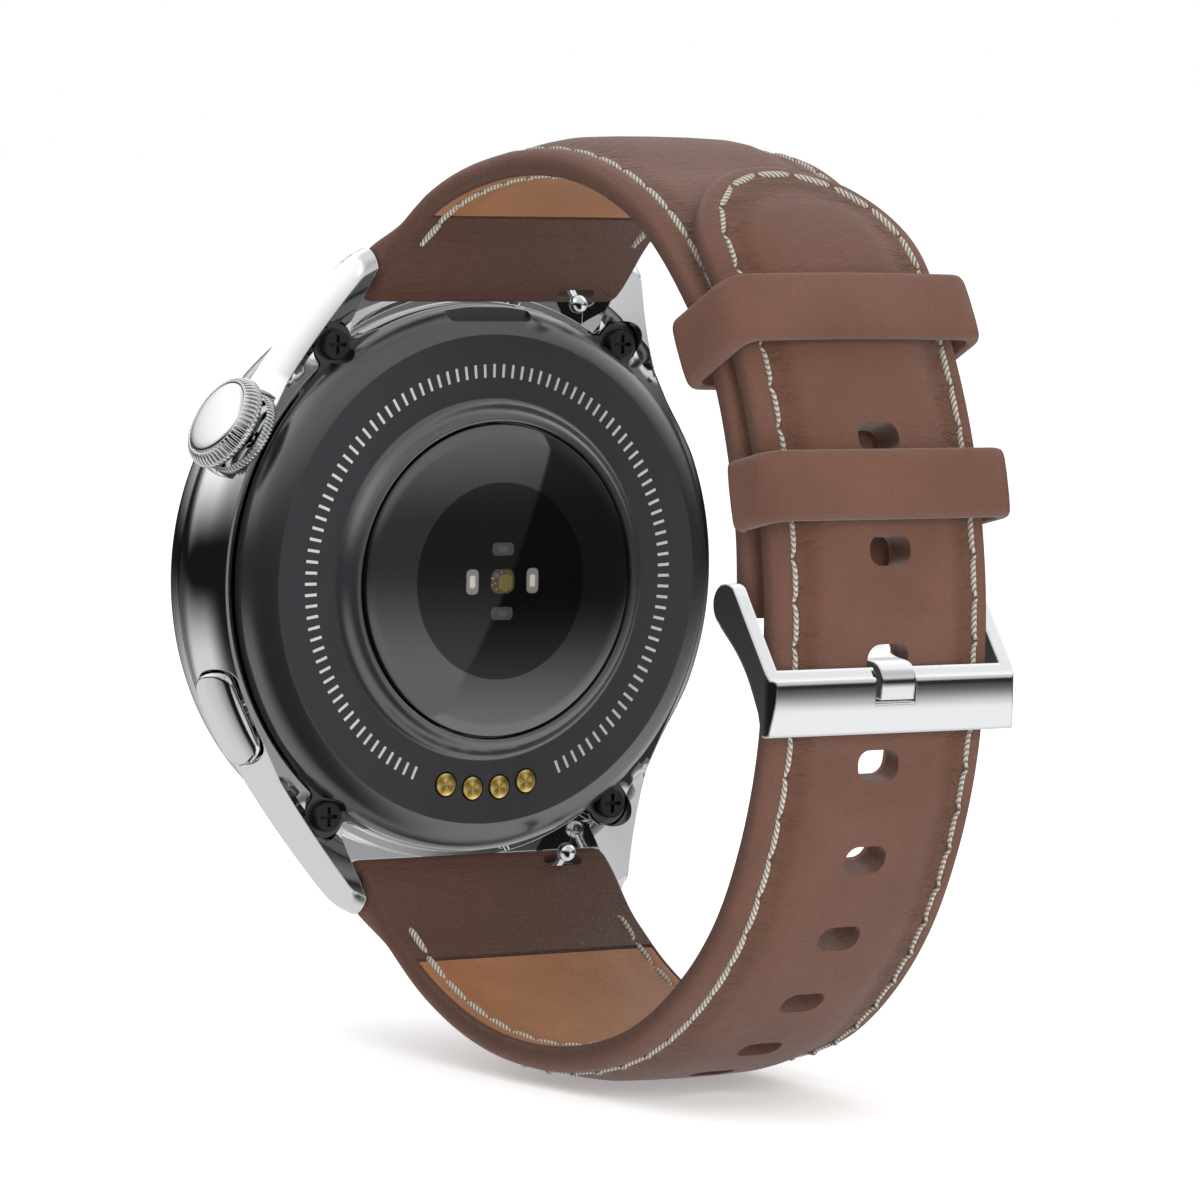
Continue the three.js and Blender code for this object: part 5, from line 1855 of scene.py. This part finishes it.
    def _row(self, face: int) -> list[list[Triple]]:
        """Runs of stitching on the outer (1) or wrist (-1) face.

        Args:
            face: Outer or wrist face.

        Returns:
            Points of each run.
        """
        body_end = self.end - self.tip_length if self.rounded else self.end - 2.6
        sides = []
        for sign in (1, -1):
            run = []
            for s in np.arange(self.stitch_start, body_end, 0.4):
                x = sign * (self.half(s) - self.stitch_inset)
                run.append(self.line.place(s, x, self._thread_level(s, face)))
            sides.append(run)
        if not self.rounded:
            return sides
        arc = []
        for a in range(0, 181, 4):
            s = body_end + (self.tip_length - self.stitch_inset) * math.sin(a * RAD)
            x = (self.half(s) - self.stitch_inset) * math.cos(a * RAD)
            arc.append(self.line.place(s, x, self._thread_level(s, face)))
        return [sides[0] + arc + list(reversed(sides[1]))]

    def _thread_level(self, s: float, face: int) -> float:
        """Height of the middle of the thread."""
        if face > 0:
            return self.top(s, self.stitch_inset) + 0.12
        return self.bottom(s) - (0.06 if s < self.wrap_end else -0.02)

    def _stitches(self) -> None:
        """Lays the stitches on both faces."""
        unit = sewn_stitch(self.pitch * 0.97)
        tree = stitch_tree(self.finishes.thread, unit)
        host = host_curve(f"{self.name}_stitches", self._row(1) + self._row(-1))
        rows = tree.run(host, {"Pitch": self.pitch * MM})
        discard(unit)
        finish_piece(smooth(rows, 60), self.finishes.thread, Slot.LEATHER)


def sewn_stitch(length: float) -> bpy.types.Object:
    """One stitch: a flattened oval that dives at both ends, with a map of its length and girth.

    Args:
        length: Length of the stitch.

    Returns:
        The stitch.
    """
    rows, ply = [], []
    steps, sides = 8, 7
    for i in range(steps):
        t = i / (steps - 1)
        taper = 0.3 + 0.7 * math.sin(math.pi * (0.04 + 0.92 * t)) ** 0.4
        dive = -0.2 * (2 * t - 1) ** 6
        ring = [((t - 0.5) * length, 0.27 * taper * math.cos(2 * math.pi * k / sides),
                 0.2 * taper * math.sin(2 * math.pi * k / sides) + dive) for k in range(sides)]
        rows.append(ring)
        ply.append([((t - 0.5) * length, ring[k][1]) for k in range(sides)])
    return skin("stitch", np.array(rows), layers={"ply": np.array(ply)})


# ------------------------------------------------------------------ spring bars


@dataclass
class SpringBar:
    """Spring bar with its quick-release pin."""

    finishes: Finishes
    name: str
    side: int

    def build(self) -> None:
        """Makes the tube and the pin."""
        y, z = BAR[0], self.side * BAR[1]
        tube = rod(f"bar_tube_{self.name}", (-10.7, y, z), (10.7, y, z), 0.9, 48)
        cut(tube, Cut.ON, rod("tip", (10.5, y, z), (11.9, y, z), 0.45, 32))
        slot = prism("slot", [(-7.0, -0.45), (-5.0, -0.45), (-5.0, 0.45), (-7.0, 0.45)], 0, 2, "z")
        slot.data.transform(release_frame(self.side))
        cut(tube, Cut.OFF, rod("bore", (-12, y, z), (0.2, y, z), 0.62, 32), slot)
        finish_piece(smooth(bevelled(tube, 0.06, 2, 40), 32), self.finishes.steel, Slot.STEEL, WATCH,
                     f"spring_bar_tube_{self.name}")
        knob = Vector((KNOB_X, y, z)) + release_way(self.side) * math.hypot(*KNOB_OUT)
        ball = lathe("ball", [(0.7 * math.sin(a * RAD), -0.7 * math.cos(a * RAD)) for a in range(0, 181, 9)],
                     48)
        ball.data.transform(Matrix.Translation(knob * MM))
        pin = rod(f"release_pin_{self.name}", (-11.9, y, z), (-6.15, y, z), 0.45, 32)
        cut(pin, Cut.ON, rod("stem", (KNOB_X, y, z), tuple(knob), 0.28, 24), ball)
        finish_piece(smooth(pin, 40), self.finishes.steel, Slot.STEEL, f"release_{self.name}",
                     f"quick_release_pin_{self.name}")


# ------------------------------------------------------------------ buckle


@dataclass
class Buckle:
    """Pin buckle: frame, pivot bar and tongue."""

    finishes: Finishes
    pivot: Pair = (57.35, 1.75)
    half_width: float = 10.38
    arm: float = 1.0
    eye: float = 1.5
    corner: float = 1.15

    def build(self) -> None:
        """Makes the three pieces."""
        self._frame()
        bar = rod("pivot_bar", (-9.93, *self.pivot), (9.93, *self.pivot), 0.55, 40)
        finish_piece(smooth(bevelled(bar, 0.08, 2, 40), 30), self.finishes.steel, Slot.STEEL, "buckle",
                     "buckle_bar")
        self._tongue()

    def _outline(self) -> list[Pair]:
        """Side view of the frame: an eye at the pivot sweeping out to the crossbar, in Y and Z.

        Returns:
            The outline.
        """
        py, pz = self.pivot
        eye = [(py + self.eye * math.cos(a * RAD), pz + self.eye * math.sin(a * RAD)) for a in range(55, 236,
                                                                                                     9)]
        back = bezier(eye[-1], (57.4, -0.45), (59.3, -1.2), (60.9, -4.2), 12)[1:]
        foot = [(60.9, -4.2), (61.45, -5.2), (61.75, -6.2), (61.86, -6.6), (61.98, -6.8)]
        foot += [(62.34 + 0.26 * math.sin(a * RAD), -6.58 - 0.26 * math.cos(a * RAD)) for a in range(0, 90,
                                                                                                     15)]
        face = [(62.61 + 0.37 * t + 0.1 * math.sin(math.pi * t), -6.5 + 3.2 * t) for t in np.linspace(0, 1,
                                                                                                      12)]
        face += [(62.7 + 0.28 * math.cos(a * RAD), -3.2 + 0.28 * math.sin(a * RAD)) for a in range(15, 105,
                                                                                                   15)]
        front = bezier((62.55, -2.9), (61.6, -1.6), (60.3, 0.1), eye[0], 14)
        return eye + back + foot + face + front

    def _frame(self) -> None:
        """A solid wedge rounded at its front corners, hollowed to leave two arms and the crossbar."""
        body = prism("buckle_frame_polished", self._outline(), -self.half_width, self.half_width, "x")
        w, r, front = self.half_width, self.corner, 63.22
        outline = [(-w, 50.0), (w, 50.0)]
        outline += [(w - r + r * math.cos(a * RAD), front - r + r * math.sin(a * RAD)) for a in range(0, 91,
                                                                                                      9)]
        outline += [(-w + r + r * math.cos(a * RAD), front - r + r * math.sin(a * RAD)) for a in range(90,
                                                                                                       181,
                                                                                                       9)]
        cut(body, Cut.KEEP, prism("limit", outline, -12, 8, "z"))
        inner = self.half_width - self.arm
        room = [(50.0, 8.0), (50.0, -12.0), (61.38, -12.0), (61.38, -6.9), (62.12, -2.9), (62.0, 8.0)]
        cut(body, Cut.OFF, prism("room", room, -inner, inner, "x"))
        notch = [(62.25, -4.75), (66, -4.75), (66, -2), (62.25, -2)]
        holes = joined(*[rod("eye", (side * (inner - 0.5), *self.pivot),
                             (side * (self.half_width - 0.25), *self.pivot),
                             0.75, 32) for side in (1, -1)])
        cut(body, Cut.OFF, prism("notch", notch, -1.65, 1.65, "x"), holes)
        finish_piece(smooth(body, 24), self.finishes.buckle, Slot.STEEL, "buckle", "buckle_frame")

    def _tongue(self) -> None:
        """The tongue, from its ring under the strap up through a hole and over the crossbar."""
        route = bezier((58.0, 0.95), (58.6, -0.9), (59.3, -1.8), (60.9, -2.1), 10)
        route += bezier((60.9, -2.1), (62.0, -2.3), (62.75, -2.1), (62.92, -3.1), 10)
        route += [(62.92, -3.1), (62.86, -3.6), (62.74, -4.42)]
        half = 0.375
        upper, lower = [], []
        for i, (y, z) in enumerate(route):
            y0, z0 = route[max(0, i - 1)]
            y1, z1 = route[min(len(route) - 1, i + 1)]
            size = math.hypot(y1 - y0, z1 - z0)
            upper.append((y - (z1 - z0) / size * half, z + (y1 - y0) / size * half))
            lower.append((y + (z1 - z0) / size * half, z - (y1 - y0) / size * half))
        blade = prism("buckle_pin", upper + lower[::-1], -1.4, 1.4, "x")
        ring = prism("ring", circle(*self.pivot, 1.15, 48), -1.4, 1.4, "x")
        cut(blade, Cut.ON, ring)
        cut(blade, Cut.OFF, rod("bore", (-3, *self.pivot), (3, *self.pivot), 0.67, 32))
        finish_piece(smooth(blade, 24), self.finishes.buckle, Slot.STEEL, "tongue", "buckle_tongue")


# ------------------------------------------------------------------ keepers


@dataclass
class Keeper:
    """A leather loop round the strap."""

    finishes: Finishes
    name: str
    node: str
    body: str
    z: float
    low: float
    back: float
    high: float = 2.1
    height: float = 4.8
    thickness: float = 1.05
    half: float = 9.35

    def build(self) -> None:
        """Sweeps a soft-edged section round a rounded rectangle."""
        point, _, normal = LONG_LINE.at(LONG_LINE.distance_at(self.z, 66))
        along = np.array([-normal[1], normal[0]])
        path = self._path()
        rows = []
        for x, n, nx, nn, thick in path:
            ring = []
            for u, v in self._section(thick):
                px, pn = x + nx * v, n + nn * v
                y = point[0] + normal[0] * pn + along[0] * u
                z = point[1] + normal[1] * pn + along[1] * u
                ring.append((px, y, z))
            rows.append(ring)
        loop = skin(self.name, np.array(rows), wrap=True)
        finish_piece(smooth(loop, 50), self.finishes.keeper, Slot.LEATHER, self.body, self.node)

    def _section(self, thick: float) -> list[Pair]:
        """Width and depth of the band: flat inside, softly rounded outside, with softened edges.

        Args:
            thick: Thickness here.

        Returns:
            The outline.
        """
        h = self.height / 2
        r = min(0.35, thick * 0.4)
        outer = [(-h + r, thick - 0.05), (-h * 0.7, thick), (-h * 0.3, thick + 0.035),
                 (h * 0.3, thick + 0.035),
                 (h * 0.7, thick), (h - r, thick - 0.05)]
        left = [(-h, 0.08), (-h, thick - r - 0.05), (-h + r * 0.3, thick - r * 0.35 - 0.05)]
        right = [(h - r * 0.3, thick - r * 0.35 - 0.05), (h, thick - r - 0.05), (h, 0.08)]
        return [(-h + 0.08, 0)] + left + outer + right + [(h - 0.08, 0)]

    def _path(self) -> list[tuple[float, float, float, float, float]]:
        """Inner corner path: place, outward direction and thickness at each step.

        Returns:
            The steps, once round.
        """
        points = []
        r = 0.95
        corners = ((1, 1), (-1, 1), (-1, -1), (1, -1))
        for k, (sx, sn) in enumerate(corners):
            cx = sx * (self.half - r)
            cn = (self.high - r) if sn > 0 else (self.low + r)
            for a in range(0, 91, 9):
                t = (90 * k + a) * RAD
                down = max(0.0, -math.sin(t))
                thick = self.thickness + (self.back - self.thickness) * ease(down * 1.2)
                points.append((cx + r * math.cos(t), cn + r * math.sin(t), math.cos(t), math.sin(t), thick))
            points += self._straight(k, r)
        return points

    def _straight(self, k: int, r: float) -> list[tuple[float, float, float, float, float]]:
        """Steps along the side that follows corner k, bowed out a little.

        Args:
            k: Number of the corner.
            r: Radius of the corners.

        Returns:
            The steps.
        """
        top, low, half = self.high, self.low, self.half
        ends = {0: ((half - r, top), (-half + r, top), (0, 1)),
                1: ((-half, top - r), (-half, low + r), (-1, 0)),
                2: ((-half + r, low), (half - r, low), (0, -1)),
                3: ((half, low + r), (half, top - r), (1, 0))}
        (x0, n0), (x1, n1), (nx, nn) = ends[k]
        thick = self.back if k == 2 else self.thickness
        steps = []
        for t in np.linspace(0, 1, 14)[1:-1]:
            bow = 0.22 * math.sin(math.pi * t) if k in (0, 2) and self.back > 0.5 else 0.0
            steps.append((x0 + (x1 - x0) * t + nx * bow, n0 + (n1 - n0) * t + nn * bow, nx, nn, thick))
        return steps


# ------------------------------------------------------------------ hidden parts


@dataclass
class Inside:
    """Parts that keep their CAD shape and get their real finish."""

    finishes: Finishes

    def build(self) -> None:
        """Gives each remaining node its material."""
        f = self.finishes
        plan: dict[str, bpy.types.Material] = {
            "display_panel": f.display, "display_flex": f.gold, "mid_frame": f.rubber, "main_board": f.board,
            "battery": f.foil, "vibration_motor": f.foil, "speaker": f.rubber, "microphone": f.foil,
            "rear_gasket": f.rubber, "window_seal": f.rubber, "sensor_board": f.board, "sensor_chip": f.chip,
            "led_left": f.foil, "led_right": f.foil, "photodiode_top": f.foil, "photodiode_bottom": f.foil,
            "crown_stem": f.wire, "crown_o_ring": f.rubber, "crown_thrust_cap": f.rubber,
            "crown_encoder": f.rubber,
            "side_button_gasket": f.rubber, "side_button_switch": f.rubber, "pin_spring_top": f.wire,
            "pin_spring_bottom": f.wire,
        }
        for name, material in plan.items():
            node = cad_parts[name]
            node.data.materials.clear()
            node.data.materials.append(material)


# ------------------------------------------------------------------ studio


@dataclass
class Studio:
    """Camera, floor, sky and soft lights."""

    eye: Triple = (262.92, 422.04, 35.23)
    view: Triple = (-0.55181, -0.83061, -0.07481)
    roll: float = 1.255
    lens: float = 196.5
    floor_drop: float = 0.4
    scrim: float = 1.25
    scrim_edge: float = 0.5
    sweep: float = 0.75

    def build(self) -> None:
        """Sets up everything round the object."""
        self._camera()
        self._floor()
        self._sky()
        self._lights()
        bpy.context.scene.view_settings.view_transform = "Standard"

    def _camera(self) -> None:
        """The camera."""
        data = bpy.data.cameras.new("camera")
        data.lens = self.lens
        data.sensor_width = 36.0
        data.clip_start = 0.01
        camera = bpy.data.objects.new("camera", data)
        bpy.context.scene.collection.objects.link(camera)
        forward = Vector(self.view).normalized()
        right = forward.cross(Vector((0, 0, 1))).normalized()
        up = right.cross(forward)
        c, s = math.cos(self.roll * RAD), math.sin(self.roll * RAD)
        right, up = right * c + up * s, up * c - right * s
        turn = Matrix((right, up, -forward)).transposed().to_4x4()
        camera.matrix_world = Matrix.Translation(Vector(self.eye) * MM) @ turn
        bpy.context.scene.camera = camera

    def _floor(self) -> None:
        """A wide pale floor just under the strap."""
        low = CAD_BOX[0][2] / MM - self.floor_drop
        size = 6000
        floor = solid_keep("floor", [(-size, -size, low), (size, -size, low), (size, size, low),
                                     (-size, size, low)],
                           [[0, 1, 2, 3]])
        shader = Shader("floor_paint")
        shade = shader.noise(shader.place(), 3.0, 2.0)
        floor.data.materials.append(shader.dress(
            Base_Color=shader.mix(shade, (0.93, 0.93, 0.93, 1), (0.96, 0.96, 0.96, 1)), Roughness=0.9,
            Specular_IOR_Level=0.0, Emission_Color=(1, 1, 1, 1), Emission_Strength=0.32,
        ))
        floor.visible_glossy = False

    def _sky(self) -> None:
        """A scrim above, a sweep below and a dark horizon for the metal to mirror; the camera sees white."""
        world = bpy.data.worlds.new("studio")
        world.use_nodes = True
        bpy.context.scene.world = world
        tree = Tree(world.node_tree)
        background = world.node_tree.nodes["Background"]
        direction = tree.node("ShaderNodeTexCoord").outputs["Generated"]
        parts = tree.node("ShaderNodeSeparateXYZ", None, {0: direction}).outputs
        across, depth, level = (Field(tree, parts[i]) for i in range(3))
        right = self._facing(tree, direction, (0.95, 0.30, 0.0))
        shift = right.step(0.3, 1.0) * 0.10
        wrist_side = depth.step(0.1, 0.6)
        above = (level - shift).step(0.0, self.scrim_edge) * (1 - 0.5 * wrist_side)
        above = above * (1 - 0.35 * level.step(0.7, 0.95))
        below = (-1 * level - shift * 0.5).step(0.03, 0.42) * (1 - wrist_side * across.step(-0.45, -0.1))
        light = above * self.scrim + below * (self.sweep + 0.25 * wrist_side) + 0.01
        behind = self._facing(tree, direction, (-0.55, 0.83, -0.05)).step(0.84, 0.93)
        beyond = self._facing(tree, direction, (-0.7366, -0.5218, -0.430)).step(-0.004, 0.004)
        near = (1 - beyond) * (0.16 + 0.55 * (level + 0.02).abs().step(0.02, 0.18))
        far = beyond * (0.03 + (-1 * level).step(0.09, 0.33) + 0.12 * level.step(0.0, 0.2))
        light = light * (1 - behind) + behind * (near + far)
        seen = Field(tree, tree.node("ShaderNodeLightPath").outputs["Is Camera Ray"])
        tree.feed(background.inputs["Strength"], light * (1 - seen) + seen)
        background.inputs["Color"].default_value = (1.0, 1.0, 1.0, 1.0)

    def _facing(self, tree: Tree, direction: Any, toward: Triple) -> Field:
        """How far a direction points towards another, from -1 to 1."""
        dot = tree.node("ShaderNodeVectorMath", {"operation": "DOT_PRODUCT"}, {0: direction, 1: toward})
        return Field(tree, dot.outputs["Value"])

    def _lights(self) -> None:
        """Soft boxes above and low in front."""
        for name, place, size, power in (
            ("top_box", (60, 160, 520), 420, 0.3),
            ("front_box", (110, 540, 210), 260, 1.3),
        ):
            data = bpy.data.lights.new(name, "AREA")
            data.shape = "SQUARE"
            data.size = size * MM
            data.energy = power
            lamp = bpy.data.objects.new(name, data)
            lamp.visible_glossy = False
            bpy.context.scene.collection.objects.link(lamp)
            aim = Vector((0, 30, 0)) - Vector(place)
            turn = aim.to_track_quat("-Z", "Y").to_matrix().to_4x4()
            lamp.matrix_world = Matrix.Translation(Vector(place) * MM) @ turn


# ------------------------------------------------------------------ assembly


def short_strap_trims() -> list[bpy.types.Object]:
    """Solids cut from the short strap: the pivot bar's bore and the tongue's slot.

    Returns:
        Both solids.
    """
    bore = rod("bore", (-12, *Buckle.pivot), (12, *Buckle.pivot), 0.7)
    slot = prism("slot", [(54.0, -3.0), (61.0, -3.0), (61.0, 3.6), (54.0, 3.6)], -1.9, 1.9, "x")
    return [bore, slot]


def main() -> None:
    """Builds the watch and its surroundings."""
    logging.basicConfig(level=logging.INFO, format="%(name)s %(message)s")
    Studio().build()
    finishes = Finishes()
    Case(finishes).build()
    Back(finishes).build()
    Crown(finishes).build()
    SideButton(finishes).build()
    Strap(finishes, "strap_short", SHORT_LINE, 1, SHORT_LINE.length + 0.9, False).build(short_strap_trims)
    Strap(finishes, "strap_long", LONG_LINE, -1, LONG_LINE.length, True,
          (33.6, 39.4, 45.4, 51.5, 57.6, 64.1, 71.3, 78.5, 86.0)).build()
    for name, side in (("top", 1), ("bottom", -1)):
        SpringBar(finishes, name, side).build()
    Buckle(finishes).build()
    Keeper(finishes, "fixed_keeper", "keeper_fixed", WATCH, 9.6, -2.62, 0.3).build()
    Keeper(finishes, "free_keeper", "keeper_free", "loose_keeper", 20.9, -4.9, 1.05).build()
    Inside(finishes).build()


if __name__ == "__main__":
    main()
